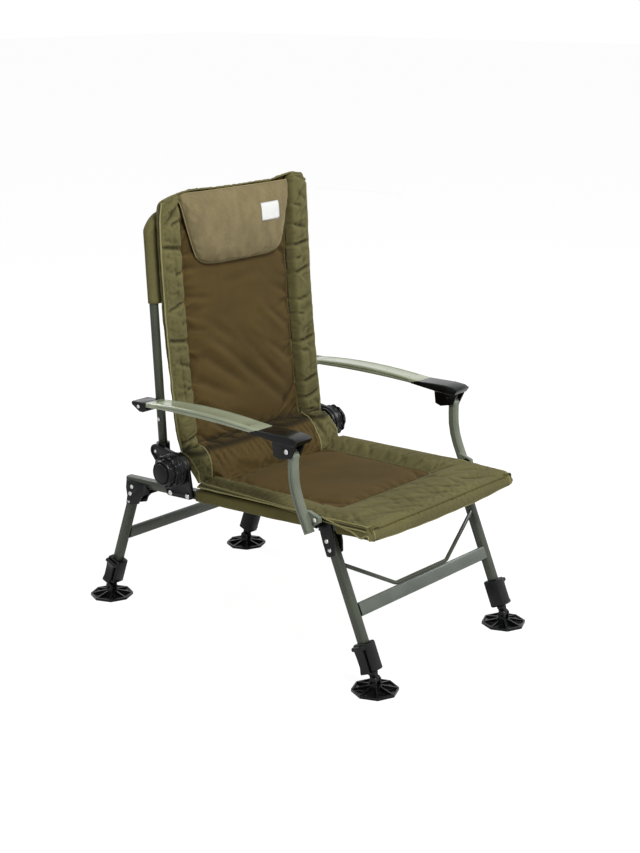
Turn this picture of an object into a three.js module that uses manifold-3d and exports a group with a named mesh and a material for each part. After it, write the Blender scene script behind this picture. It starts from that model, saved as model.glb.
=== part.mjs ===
// A folding carp fishing chair: tubular seat frame, two folding leg frames with extending, clamped
// legs and swivelling mud feet, a reclining padded back, and armrests that follow the back as a
// parallelogram. Millimetres, +Z up. The sitter faces -Y and the floor is Z = 0, so the sitter's
// left hand is on +X. The origin is on the floor, midway between the front and the rear feet.
// Paired pieces are made on the +X side and mirrored.

import * as THREE from 'three';
import { mergeVertices } from 'three/addons/utils/BufferGeometryUtils.js';
import Module from 'manifold-3d';

// Fits
const restGap = 0.3; // between pieces that rest on each other
const runGap = 0.3; // round a pin, shaft or sliding bar
const padGap = 0.8; // between a padded form and the cloth under it
const overrun = 5; // how far a cutting shape runs past what it cuts

// Feet
const halfSpread = 232; // from the middle to the centre of each rail and leg
const frontFootY = -401;
const rearFootY = 401;
const footRadius = 50; // to the corners of the eight-sided pad
const footPoints = 8; // as many corners as ribs
const footPlate = 3;
const footRimHeight = 6;
const footRimWidth = 3.5;
const footRibWidth = 4;
const hubRadius = 15;
const hubHeight = 13;
const footPinHeight = 24;
const footPinRadius = 3;
const footEarRadius = 9;
const footEarThickness = 4.5;
const pinHeadRadius = 4.8;
const pinHeadHeight = 1.8;

// Seat frame
const railWidth = 20;
const railHeight = 22;
const railWall = 1.5;
const railCorner = 4;
const railFrontY = -390;
const railRearY = 324.5;
const railFrontHeight = 340.6; // height of the rail's centre at its front end
const railRearHeight = 303.4;
const crossTubeRadius = 10;
const frontTubeY = -376;
const rearTubeY = 95;

// Leg hinges under the rails
const frontPivotY = -282;
const frontPivotDrop = 34;
const rearPivotY = 308.5;
const rearPivotDrop = 28.3;
const earThickness = 4;
const earBevel = 0.8;
const frontEarHeight = 74; // from its lower tip to its upper edge
const frontEarShares = [
  [0.35, 0.54],
  [0.15, -0.08],
  [0, -0.45],
  [-0.1, -0.45],
  [-0.28, -0.32],
  [-0.27, 0],
  [-0.14, 0.54],
];
const frontBridgeShares = [0.14, 0.34];
const rearEarLength = 82; // from its front tip to its rear edge
const rearEarShares = [
  [0.14, 0.37],
  [0.17, 0.15],
  [0.13, -0.08],
  [0.177, -0.305],
  [0.03, -0.335],
  [-0.305, -0.244],
  [-0.384, -0.073],
  [-0.494, 0.024],
  [-0.823, 0.171],
  [-0.689, 0.293],
  [-0.567, 0.366],
];
const rearBridgeShares = [-0.62, -0.4];
const legPinRadius = 3.5;
const rivetRadius = 5.5;
const rivetHeight = 2.4;
const lockDrop = 18; // from the leg pin to the lock button, along the leg
const lockRadius = 4;

// Legs
const legSide = 20;
const legCorner = 4;
const legWall = 1.5;
const legTop = 12; // the leg runs this far above its pin
const slideGap = 0.5;
const innerLegReach = 162; // the inner leg's length above its foot pin
const plugLength = 14;
const tongueWidth = 10;
const tongueRadius = 8;
const tongueNeck = 13; // from the foot pin up to the plug's full width

// Clamps on the leg ends
const clampGap = 19; // from the foot pin to the clamp's lower end
const clampLength = 62;
const clampWidth = 32;
const clampDepth = 37;
const clampBevel = 2.5;
const clampFloor = 24; // how far the outer leg stops above the clamp's lower end
const leverLength = 54;
const leverWidth = 22;
const leverThickness = 5;
const leverBarrelRadius = 4.6;
const leverPinRadius = 2.2;
const leverPinInset = 8; // below the clamp's upper end
const lugThickness = 4;

// Cross members of the leg frames
const crossbarHeight = 29;
const crossbarThickness = 13;
const crossbarCorner = 4;
const crossbarWall = 1.5;
const frontCrossbarDrop = 155; // below the leg pin, along the leg
const rearCrossbarDrop = 113.5;
const crossbarForward = 5; // in front of the leg's centre
const rodRadius = 4.5;
const rodRise = 83; // from its lower run up to its ends at the legs
const rodHalfRun = 89;
const rodBend = 22;

// Recline hinge
const hingeY = 148.5;
const hingeRise = 56.9; // above the rail's centre
const lowerDiscRadius = 36;
const upperDiscRadius = 38;
const lowerCastingThickness = 8;
const upperCastingThickness = 11.6;
const castingBevel = 1.5;
const castingRimWidth = 5;
const castingRecess = 2;
const castingBarHeight = 20; // the lower casting's bar along the rail
const castingFront = 45; // from the hinge to the bar's front end
const castingRear = 39; // and to its rear end
const castingDrop = 67; // from the hinge down to the bar's lower edge
const castingRivetInset = 14;
const hingeBoltRadius = 5;
const knobBaseRadius = 38;
const knobFaceRadius = 27;
const knobDepth = 36;
const knobLobes = 12;
const knobLobeDepth = 2.6;
const knobRoundness = 36; // points round the grip
const knobCapRadius = 20;
const knobCapHeight = 2.5;
const knobGrooveInset = 3.5; // from the flat face's edge in to the groove round the cap
const knobGrooveDepth = 2.5;

// Back frame
const backTubeOutset = 3; // the back tubes' centres lie this far outside the rails'
const backTubeRadius = 10;
const backTubeWall = 1.5;
const backLean = THREE.MathUtils.degToRad(3.1);
const backTopRise = 408; // from the armrest pivot up to the top bar's centre, along the tube
const backBend = 50;
const socketLength = 30;
const socketWall = 5;
const socketFloor = 4;
const socketDrop = 121; // from the armrest pivot down to the socket's lower face
const hoodDepth = 190; // how far the cloth hood hangs down the frame

// Armrest linkage: the crank on the back and the post are equal and parallel
const crankBack = 63;
const crankRise = 138;
const postPivotY = -270.5;
const postPivotFall = 19.1; // the post's pivot lies this far below the recline hinge
const postSide = 20;
const postBevel = 4;
const postLugThickness = 5;
const postLugRadius = 9;
const postPinRadius = 3.5;
const postStandOff = 9.2; // from the leg bracket's ear out to the post bracket's plate
const postBracketThickness = 3.6;
const armInset = 4; // the armrest's middle lies this far inside the post's
const armWidth = 50;
const armBevel = 3.5;
const armCrown = 21.3; // above the rear pivot
const armDepth = 14.8; // at its middle
const armTopFall = 9; // from the crown down to its ends
const armUnderFall = 4.5;
const armEdgeWidth = 8; // the raised edge along each side of the armrest's top
const armTopRecess = 0.8;
const armGrooveWidth = 2.6; // along the armrest's two sides and the post's outer face
const armGrooveDepth = 1.2;
const armPlainEnd = 30; // the grooves and the recess stop this far from the armrest's ends
const armRearInset = 16; // from the rear pivot to the arm's rear end
const armFrontTop = 70.5; // from the front pivot to the arm's front end, above
const armFrontUnder = 95.5; // and below
const capLength = 38; // in front of the front pivot
const cheekThickness = 5;
const capBevel = 2;
const rearCapRadius = 11;
const rearCapLength = 29;
const rearPinRadius = 3;
const rearPinReach = 14;

// Cloth and padding
const cloth = 1.7;
const seatSag = 24;
const sleeveFrontY = -400;
const sleeveRearY = 98;
const notchMargin = 5; // between the cut-out in the seat sleeve and the bracket
const padOutset = 14; // the pad's side edge lies this far outside the rail's centre, at the back
const padFrontOutset = 21;
const padRearInset = 71; // in front of the recline hinge
const padFrontY = -406;
const padRearCrest = 30; // the pad's side crest above the rail's top, at the back
const padFrontCrest = 11;
const padPanelInset = 67; // from the rail's centre in to the edge of the sunken middle panel
const padBorderInset = 30; // and to the crest of the raised border
const padDip = 19;
const padPanelFrontY = -243;
const padPanelRamp = 45;
const cushionOutset = 4; // outside the back tubes' centres
const cushionRise = 31.5; // the cushion's lower edge lies this far above the recline hinge
const cushionHeight = 566;
const cushionSetBack = 0.5; // its lower edge behind the hinge
const cushionLeanBack = 45.5; // its upper edge behind the lower one
const cushionBow = 7.7;
const bolsterWidth = 63;
const bolsterCrest = 9;
const panelSet = 14; // the middle panel's seam lies this far behind the edge piping
const panelCrown = 7;
const cushionDepth = 21; // from the edge piping back to the cushion's rear face, at the bottom
const quiltCount = 10;
const quiltDip = 2.5;
const pillowInset = 7; // the pillow's upper corners lie this far inside the panel's edges
const pillowTaper = 41; // how much narrower each side is at the bottom
const pillowHeight = 154;
const pillowDrop = 10; // below the cushion's upper edge
const pillowThickness = 34;
const rollOutset = 4; // outside the rails' centres
const rollSetBack = 0.7; // its front seam behind the pad
const rollFrontRise = 10.8; // above the rail's top
const rollRearInset = 6; // its rear seam in front of the cushion's lower edge
const rollRearDrop = 7; // and below it
const rollBulge = 20;
const rollUnder = 11; // below the line of its seams

// Worked out from the sizes above
const railSlope = (railRearHeight - railFrontHeight) / (railRearY - railFrontY);
const railTilt = Math.atan(railSlope);
const railCentre = (y) => railFrontHeight + railSlope * (y - railFrontY);
const railTop = (y) => railCentre(y) + railHeight / 2;
const frontPivot = new THREE.Vector3(0, frontPivotY, railCentre(frontPivotY) - frontPivotDrop);
const rearPivot = new THREE.Vector3(0, rearPivotY, railCentre(rearPivotY) - rearPivotDrop);
const hinge = new THREE.Vector3(0, hingeY, railCentre(hingeY) + hingeRise);
const armPivot = new THREE.Vector3(0, hingeY + crankBack, hinge.z + crankRise);
const postPivot = new THREE.Vector3(0, postPivotY, hinge.z - postPivotFall);
const postTop = new THREE.Vector3(0, postPivotY + crankBack, postPivot.z + crankRise);
const railOuter = halfSpread + railWidth / 2;
const earInner = railWidth / 2 + restGap; // from the leg's centre to an ear's inner face
const earOuter = earInner + earThickness;
const lowerCastingX = railOuter + restGap;
const upperCastingX = lowerCastingX + lowerCastingThickness + restGap;
const knobX = upperCastingX + upperCastingThickness + restGap;
const postBracketInner = halfSpread + earOuter + postStandOff;
const postBracketOuter = postBracketInner + postBracketThickness;
const postLugX = postBracketOuter + restGap;
const postX = postLugX + postLugThickness + 2 * restGap + postSide / 2;
const armX = postX - armInset;
const backHalfSpread = halfSpread + backTubeOutset;
const padRearY = hingeY - padRearInset;
const padPanelHalf = halfSpread - padPanelInset;
const padBorderHalf = halfSpread - padBorderInset;
const cushionHalfWidth = backHalfSpread + cushionOutset;
const cushionPanelHalf = cushionHalfWidth - bolsterWidth;
const cushionBottom = hinge.z + cushionRise;
const cushionTop = cushionBottom + cushionHeight;
const cushionBottomY = hingeY + cushionSetBack;
const cushionTopY = cushionBottomY + cushionLeanBack;
const pillowTopHalf = cushionPanelHalf - pillowInset;
const pillowBottomHalf = pillowTopHalf - pillowTaper;
const pillowTop = cushionTop - pillowDrop;
const pillowBottom = pillowTop - pillowHeight;
const rollHalfWidth = halfSpread + rollOutset;
const rollFront = new THREE.Vector2(padRearY + rollSetBack, railTop(padRearY) + rollFrontRise);
const rollRear = new THREE.Vector2(cushionBottomY - rollRearInset, cushionBottom - rollRearDrop);
const clothStack = restGap + cloth; // from a bar to the outside of the cloth round it

// Finishes
const finish = (color, roughness, metalness) =>
  new THREE.MeshStandardMaterial({ color, roughness, metalness });
const frameGreen = finish(0x5c6154, 0.45, 0.3);
const barGreen = finish(0x7c8276, 0.4, 0.3);
const armGreen = finish(0x98a68c, 0.35, 0.2);
const blackPlastic = finish(0x1b1b1d, 0.5, 0);
const steel = finish(0xb9bbb8, 0.3, 0.9);
const oliveCloth = finish(0x6a6642, 0.95, 0);
const brownCloth = finish(0x5a4a31, 0.95, 0);
const khakiPlush = finish(0x84755a, 1, 0);

// Joins and cuts
const wasm = await Module();
wasm.setup();

function solidOf(geometry) {
  const bare = geometry.clone();
  bare.deleteAttribute('normal');
  bare.deleteAttribute('uv');
  const merged = mergeVertices(bare);
  return new wasm.Manifold(
    new wasm.Mesh({
      numProp: 3,
      vertProperties: new Float32Array(merged.attributes.position.array),
      triVerts: new Uint32Array(merged.index.array),
    }),
  );
}

function geometryOf(solid) {
  const mesh = solid.getMesh();
  const geometry = new THREE.BufferGeometry();
  geometry.setAttribute('position', new THREE.BufferAttribute(mesh.vertProperties, 3));
  geometry.setIndex(new THREE.BufferAttribute(mesh.triVerts, 1));
  geometry.computeVertexNormals();
  return geometry;
}

// Joins the first list of geometries and cuts the second list from them.
function carve(joined, cuts = []) {
  let solid = joined.map(solidOf).reduce((a, b) => a.add(b));
  for (const cut of cuts) solid = solid.subtract(solidOf(cut));
  return geometryOf(solid);
}

// The same form on the -X side.
function mirrored(geometry) {
  const bare = geometry.clone();
  bare.deleteAttribute('normal');
  bare.deleteAttribute('uv');
  const copy = mergeVertices(bare).scale(-1, 1, 1);
  const index = copy.index.array;
  for (let i = 0; i < index.length; i += 3) [index[i], index[i + 1]] = [index[i + 1], index[i]];
  copy.computeVertexNormals();
  return copy;
}

// Outlines
function roundedRect(width, height, radius, centreX = 0) {
  const x = width / 2 - radius;
  const y = height / 2 - radius;
  const shape = new THREE.Shape();
  shape.absarc(centreX + x, y, radius, 0, Math.PI / 2);
  shape.absarc(centreX - x, y, radius, Math.PI / 2, Math.PI);
  shape.absarc(centreX - x, -y, radius, Math.PI, 1.5 * Math.PI);
  shape.absarc(centreX + x, -y, radius, 1.5 * Math.PI, 2 * Math.PI);
  shape.closePath();
  return shape;
}

function hollowRect(width, height, radius, wall, centreX = 0) {
  const shape = roundedRect(width, height, radius, centreX);
  shape.holes.push(roundedRect(width - 2 * wall, height - 2 * wall, radius - wall, centreX));
  return shape;
}

function circle(radius) {
  return new THREE.Shape().absarc(0, 0, radius, 0, 2 * Math.PI);
}

function ring(radius, wall) {
  const shape = circle(radius);
  shape.holes.push(new THREE.Path().absarc(0, 0, radius - wall, 0, 2 * Math.PI));
  return shape;
}

function polygon(points) {
  return new THREE.Shape(points.map(([a, b]) => new THREE.Vector2(a, b)));
}

// The convex outline round a set of circles, each given as [a, b, radius].
function wrap(circles, steps = 12) {
  const points = circles.flatMap(([a, b, radius]) =>
    Array.from({ length: steps }, (_, i) => {
      const turn = (2 * Math.PI * i) / steps;
      return [a + radius * Math.cos(turn), b + radius * Math.sin(turn)];
    }),
  );
  points.sort((p, q) => p[0] - q[0] || p[1] - q[1]);
  const turnOf = (o, p, q) => (p[0] - o[0]) * (q[1] - o[1]) - (p[1] - o[1]) * (q[0] - o[0]);
  const chain = (list) => {
    const hull = [];
    for (const p of list) {
      while (hull.length > 1 && turnOf(hull.at(-2), hull.at(-1), p) <= 1e-6) hull.pop();
      hull.push(p);
    }
    hull.pop();
    return hull;
  };
  return polygon([...chain(points), ...chain(points.slice().reverse())]);
}

// An outline given as shares of a size, placed round a centre.
function shareOutline(shares, size, y, z) {
  return polygon(shares.map(([a, b]) => [y + a * size, z + b * size]));
}

// An arch in Z and X: straight sides, round upper corners, open or flat below.
function archOutline(bottom, top, halfWidth, radius) {
  const shape = new THREE.Shape();
  shape.moveTo(bottom, -halfWidth);
  shape.lineTo(top - radius, -halfWidth);
  shape.absarc(top - radius, radius - halfWidth, radius, -Math.PI / 2, 0);
  shape.absarc(top - radius, halfWidth - radius, radius, 0, Math.PI / 2);
  shape.lineTo(bottom, halfWidth);
  return shape;
}

// Slabs: an outline given a thickness along Z, along X (outline in Y, Z) or along Y (in Z, X)
const zToX = new THREE.Matrix4().makeBasis(
  new THREE.Vector3(0, 1, 0),
  new THREE.Vector3(0, 0, 1),
  new THREE.Vector3(1, 0, 0),
);
const zToY = new THREE.Matrix4().makeBasis(
  new THREE.Vector3(0, 0, 1),
  new THREE.Vector3(1, 0, 0),
  new THREE.Vector3(0, 1, 0),
);

function alongZ(shape, from, to, { bevel = 0, segments = 1, bevelSegments = 1 } = {}) {
  return new THREE.ExtrudeGeometry(shape, {
    depth: to - from - 2 * bevel,
    bevelEnabled: bevel > 0,
    bevelThickness: bevel,
    bevelSize: bevel,
    bevelOffset: -bevel,
    bevelSegments,
    curveSegments: segments,
  }).translate(0, 0, from + bevel);
}

const alongX = (shape, from, to, options) => alongZ(shape, from, to, options).applyMatrix4(zToX);
const alongY = (shape, from, to, options) => alongZ(shape, from, to, options).applyMatrix4(zToY);

function rodX(radius, from, to, y, z, segments = 8) {
  return new THREE.CylinderGeometry(radius, radius, to - from, segments)
    .rotateZ(Math.PI / 2)
    .translate((from + to) / 2, y, z);
}

function rodY(radius, from, to, x, z, segments = 8) {
  return new THREE.CylinderGeometry(radius, radius, to - from, segments).translate(
    x,
    (from + to) / 2,
    z,
  );
}

function rodZ(radius, from, to, x, y, segments = 12) {
  return new THREE.CylinderGeometry(radius, radius, to - from, segments)
    .rotateX(Math.PI / 2)
    .translate(x, y, (from + to) / 2);
}

function block(x0, x1, y0, y1, z0, z1) {
  return new THREE.BoxGeometry(x1 - x0, y1 - y0, z1 - z0).translate(
    (x0 + x1) / 2,
    (y0 + y1) / 2,
    (z0 + z1) / 2,
  );
}

// A domed rivet or pin head whose flat base is at x, standing out along +X or, with -1, -X.
const headShares = [
  [0, 0],
  [1, 0],
  [0.8, 0.75],
  [0, 1],
];

function headX(radius, height, x, y, z, facing = 1) {
  const profile = headShares.map(([r, h]) => new THREE.Vector2(r * radius, h * height));
  return new THREE.LatheGeometry(profile, 8)
    .rotateZ((-facing * Math.PI) / 2)
    .translate(x, y, z);
}

// A skin over rings of equally many points, closed at both ends.
function loft(rings) {
  const count = rings[0].length;
  const positions = [];
  const index = [];
  for (const points of rings) for (const p of points) positions.push(p.x, p.y, p.z);
  for (let i = 0; i + 1 < rings.length; i++) {
    for (let j = 0; j < count; j++) {
      const a = i * count + j;
      const b = i * count + ((j + 1) % count);
      index.push(a, b, b + count, a, b + count, a + count);
    }
  }
  for (const [row, flip] of [[0, true], [rings.length - 1, false]]) {
    const centre = rings[row]
      .reduce((sum, p) => sum.add(p), new THREE.Vector3())
      .divideScalar(count);
    const middle = positions.length / 3;
    positions.push(centre.x, centre.y, centre.z);
    for (let j = 0; j < count; j++) {
      const a = row * count + j;
      const b = row * count + ((j + 1) % count);
      index.push(middle, ...(flip ? [b, a] : [a, b]));
    }
  }
  const geometry = new THREE.BufferGeometry();
  geometry.setAttribute('position', new THREE.Float32BufferAttribute(positions, 3));
  geometry.setIndex(index);
  geometry.computeVertexNormals();
  return geometry;
}

// A round bar in the X, Z plane through the corners, each given as [x, z, bend radius].
function bentBar(corners, radius, segments, bendSteps) {
  const stations = [];
  corners.forEach(([x, z, bend], i) => {
    const corner = new THREE.Vector2(x, z);
    const before = new THREE.Vector2(...(corners[i - 1] ?? corners[i]));
    const after = new THREE.Vector2(...(corners[i + 1] ?? corners[i]));
    const arriving = corner.clone().sub(before).normalize();
    const leaving = after.clone().sub(corner).normalize();
    if (i === 0 || i === corners.length - 1) {
      stations.push({ point: corner, run: i === 0 ? leaving : arriving });
      return;
    }
    const turn = arriving.cross(leaving) > 0 ? 1 : -1;
    const angle = Math.acos(arriving.dot(leaving));
    const start = corner.clone().addScaledVector(arriving, -bend * Math.tan(angle / 2));
    const inward = new THREE.Vector2(-arriving.y, arriving.x).multiplyScalar(turn * bend);
    const centre = start.clone().add(inward);
    for (let step = 0; step <= bendSteps; step++) {
      const swing = (turn * angle * step) / bendSteps;
      stations.push({
        point: start.clone().rotateAround(centre, swing),
        run: arriving.clone().rotateAround(new THREE.Vector2(), swing),
      });
    }
  });
  return loft(
    stations.map(({ point, run }) =>
      Array.from({ length: segments }, (_, i) => {
        const turn = (2 * Math.PI * i) / segments;
        const side = radius * Math.cos(turn);
        const x = point.x - run.y * side;
        const z = point.y + run.x * side;
        return new THREE.Vector3(x, -radius * Math.sin(turn), z);
      }),
    ),
  );
}

// A closed padded form: an upper and a lower surface over one outline, sewn together round it.
// place gives a point for each pair of steps and for the side: 1, -1, or 0 on the seam.
function padded(across, along, place) {
  const positions = [];
  const index = [];
  const lastU = across.length - 1;
  const lastV = along.length - 1;
  const onSeam = (i, j) => i === 0 || j === 0 || i === lastU || j === lastV;
  const upper = [];
  const lower = [];
  const pushPoint = (point) => positions.push(point.x, point.y, point.z) / 3 - 1;
  across.forEach((u, i) =>
    along.forEach((v, j) => {
      const seam = onSeam(i, j);
      const first = pushPoint(place(u, v, seam ? 0 : 1));
      upper.push(first);
      lower.push(seam ? first : pushPoint(place(u, v, -1)));
    }),
  );
  for (let i = 0; i < lastU; i++) {
    for (let j = 0; j < lastV; j++) {
      const corners = [[0, 0], [1, 0], [1, 1], [0, 1]];
      const keys = corners.map(([p, q]) => (i + p) * along.length + j + q);
      const [a, b, c, d] = keys.map((key) => upper[key]);
      const [e, f, g, h] = keys.map((key) => lower[key]);
      index.push(a, b, c, a, c, d, e, g, f, e, h, g);
    }
  }
  const geometry = new THREE.BufferGeometry();
  geometry.setAttribute('position', new THREE.Float32BufferAttribute(positions, 3));
  geometry.setIndex(index);
  geometry.computeVertexNormals();
  return geometry;
}

const mix = THREE.MathUtils.lerp;
const smooth = (low, high, value) => THREE.MathUtils.smoothstep(value, low, high);
// How full a padded form is, from 0 on its seam at -1 and 1 to 1 inside.
const fullness = (u, power) => Math.sqrt(Math.max(0, 1 - Math.abs(u) ** power));
// Steps from -1 to 1 that close up towards both ends.
const seamSteps = (count) =>
  Array.from({ length: count + 1 }, (_, i) => Math.sin((i / count - 0.5) * Math.PI));

const evenSteps = (count) => Array.from({ length: count + 1 }, (_, i) => (2 * i) / count - 1);

// Assembly
const chair = new THREE.Group();

function add(name, geometry, material, parent = chair) {
  const mesh = new THREE.Mesh(geometry, material);
  mesh.name = name;
  parent.add(mesh);
}

function addPair(name, geometry, material, parent = chair) {
  add(`${name}_left`, geometry, material, parent);
  add(`${name}_right`, mirrored(geometry), material, parent);
}

// Moves a form made along Y about the origin's height onto the sloping rail.
function onRail(geometry) {
  return geometry
    .translate(0, -railFrontY, 0)
    .rotateX(railTilt)
    .translate(0, railFrontY, railFrontHeight);
}
const alongRail = (length) => length / Math.cos(railTilt);

// Seat frame: two sloping rails and two cross tubes
const railEnd = railFrontY + alongRail(railRearY - railFrontY);
const railSection = hollowRect(railHeight, railWidth, railCorner, railWall);
addPair(
  'rail',
  onRail(alongY(railSection, railFrontY, railEnd).translate(halfSpread, 0, 0)),
  frameGreen,
);
const crossTubeHalf = halfSpread - railWidth / 2 - restGap;
const crossTube = (y) =>
  rodX(crossTubeRadius, -crossTubeHalf, crossTubeHalf, y, railCentre(y), 16);
add('front_cross_tube', crossTube(frontTubeY), frameGreen);
add('rear_cross_tube', crossTube(rearTubeY), frameGreen);

// Leg frames, each drawn upright about its leg pins and then leaned
function legFrame(pivot, footY) {
  const reach = new THREE.Vector2(footY - pivot.y, pivot.z - footPinHeight);
  const group = new THREE.Group();
  group.position.copy(pivot);
  group.rotation.x = Math.atan2(reach.x, reach.y);
  chair.add(group);
  return { group, pivot, footY, length: reach.length(), lean: group.rotation.x };
}
const frontFrame = legFrame(frontPivot, frontFootY);
const rearFrame = legFrame(rearPivot, rearFootY);

// A leg bracket: two ears on the rail's sides, joined by a bridge under the rail
function legBracket({ pivot, lean }, shares, size, bridgeShares, extra = []) {
  const outline = shareOutline(shares, size, pivot.y, pivot.z);
  const ears = [
    [-earOuter, -earInner],
    [earInner, earOuter],
  ].map(([from, to]) => alongX(outline, halfSpread + from, halfSpread + to));
  const [bridgeFront, bridgeRear] = bridgeShares.map((share) => pivot.y + share * size);
  const underRail = (y) => railCentre(y) - railHeight / 2 - restGap;
  const bridge = alongX(
    polygon([
      [bridgeFront, underRail(bridgeFront) - earThickness],
      [bridgeRear, underRail(bridgeRear) - earThickness],
      [bridgeRear, underRail(bridgeRear)],
      [bridgeFront, underRail(bridgeFront)],
    ]),
    halfSpread - earInner - earThickness / 2,
    halfSpread + earInner + earThickness / 2,
  );
  const lockY = pivot.y + lockDrop * Math.sin(lean);
  const lockZ = pivot.z - lockDrop * Math.cos(lean);
  const face = halfSpread + earOuter - earBevel / 2;
  const lock = headX(lockRadius, rivetHeight, face, lockY, lockZ);
  const pinHole = rodX(
    legPinRadius + runGap,
    halfSpread - earOuter - overrun,
    halfSpread + earOuter + overrun,
    pivot.y,
    pivot.z,
  );
  return carve([...ears, bridge, lock, ...extra], [pinHole]);
}

const innerRivet = (y, z) =>
  headX(rivetRadius, rivetHeight, halfSpread - earOuter + earBevel / 2, y, z, -1);
addPair(
  'front_leg_bracket',
  legBracket(frontFrame, frontEarShares, frontEarHeight, frontBridgeShares, [
    innerRivet(postPivotY, railCentre(postPivotY)),
  ]),
  blackPlastic,
);
const rearRivetY = rearPivotY + rearBridgeShares[0] * rearEarLength;
addPair(
  'rear_leg_bracket',
  legBracket(rearFrame, rearEarShares, rearEarLength, rearBridgeShares, [
    headX(
      rivetRadius,
      rivetHeight,
      halfSpread + earOuter - earBevel / 2,
      rearRivetY,
      railCentre(rearRivetY) - railHeight / 4,
    ),
  ]),
  blackPlastic,
);

// Leg pins, with a domed head past each ear
function legPin({ pivot }) {
  const face = earOuter + restGap;
  return carve([
    rodX(legPinRadius, halfSpread - face - restGap, halfSpread + face + restGap, pivot.y, pivot.z),
    headX(rivetRadius, rivetHeight, halfSpread + face, pivot.y, pivot.z),
    headX(rivetRadius, rivetHeight, halfSpread - face, pivot.y, pivot.z, -1),
  ]);
}
addPair('front_leg_pin', legPin(frontFrame), steel);
addPair('rear_leg_pin', legPin(rearFrame), steel);

// Legs: an outer tube from the bracket into the clamp
const innerSide = legSide - 2 * (legWall + slideGap);
const innerCorner = legCorner - legWall - slideGap;
const legEnd = ({ length }) => clampGap + clampFloor - length;

function legTube(frame) {
  const tube = alongZ(hollowRect(legSide, legSide, legCorner, legWall), legEnd(frame), legTop);
  const hole = rodX(legPinRadius + runGap, -legSide, legSide, 0, 0);
  return carve([tube], [hole]).translate(halfSpread, 0, 0);
}

// The inner leg slides in the outer tube and ends in a plug and tongue on the foot's pin
function innerLeg({ length }) {
  const shoulder = tongueNeck - length;
  const tube = alongZ(
    hollowRect(innerSide, innerSide, innerCorner, legWall),
    shoulder,
    innerLegReach - length,
  );
  const plug = alongZ(roundedRect(innerSide, innerSide, innerCorner), shoulder, shoulder + plugLength);
  const tongue = alongX(
    wrap([
      [0, -length, tongueRadius],
      [0, shoulder, innerSide / 2],
    ]),
    -tongueWidth / 2,
    tongueWidth / 2,
  );
  const hole = rodX(footPinRadius + runGap, -legSide, legSide, 0, -length);
  return carve([tube, plug, tongue], [hole]).translate(halfSpread, 0, 0);
}

// The clamp holds the outer leg in its upper pocket and grips the inner leg below it
const clampOuter = halfSpread + clampWidth / 2;
const leverX = clampOuter + restGap + leverBarrelRadius;

function clampTopOf({ length }) {
  return clampGap + clampLength - length;
}

function legClamp(frame) {
  const top = clampTopOf(frame);
  const bottom = top - clampLength;
  const body = alongZ(roundedRect(clampWidth, clampDepth, legCorner), bottom, top, {
    bevel: clampBevel,
  }).translate(halfSpread, 0, 0);
  const pocketSide = legSide + 2 * restGap;
  const pocket = alongZ(
    roundedRect(pocketSide, pocketSide, legCorner + restGap),
    legEnd(frame) - restGap,
    top + overrun,
  ).translate(halfSpread, 0, 0);
  const boreSide = innerSide + 2 * runGap;
  const bore = alongZ(
    roundedRect(boreSide, boreSide, innerCorner + runGap),
    bottom - overrun,
    top,
  ).translate(halfSpread, 0, 0);
  const pinZ = top - leverPinInset;
  const lugFrom = leverWidth / 2 + runGap;
  const lugOutline = wrap([
    [pinZ, leverX, leverBarrelRadius],
    [pinZ, clampOuter - leverBarrelRadius, leverBarrelRadius],
  ]);
  const lugs = [
    [lugFrom, lugFrom + lugThickness],
    [-lugFrom - lugThickness, -lugFrom],
  ].map(([from, to]) => alongY(lugOutline, from, to));
  const pin = rodY(leverPinRadius, -lugFrom - overrun / 2, lugFrom + overrun / 2, leverX, pinZ);
  return carve([body, ...lugs, pin], [pocket, bore]);
}

// The clamp's lever lies down the clamp's outer side and flips out and up
const leverShares = [
  [0, 0],
  [0.8, 0],
  [1, 1],
  [1, 1.7],
  [0.93, 1.8],
  [0.72, 1.1],
  [0.3, 1.25],
  [0, 1.6],
];

function clampLever(frame) {
  const pinZ = clampTopOf(frame) - leverPinInset;
  const face = clampOuter + 2 * restGap;
  const paddle = alongY(
    polygon(leverShares.map(([a, b]) => [pinZ - a * leverLength, face + b * leverThickness])),
    -leverWidth / 2,
    leverWidth / 2,
    { bevel: restGap * 2 },
  );
  const barrel = rodY(leverBarrelRadius, -leverWidth / 2, leverWidth / 2, leverX, pinZ);
  const hole = rodY(leverPinRadius + runGap, -leverWidth, leverWidth, leverX, pinZ, 12);
  return carve([paddle, barrel], [hole]);
}

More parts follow.
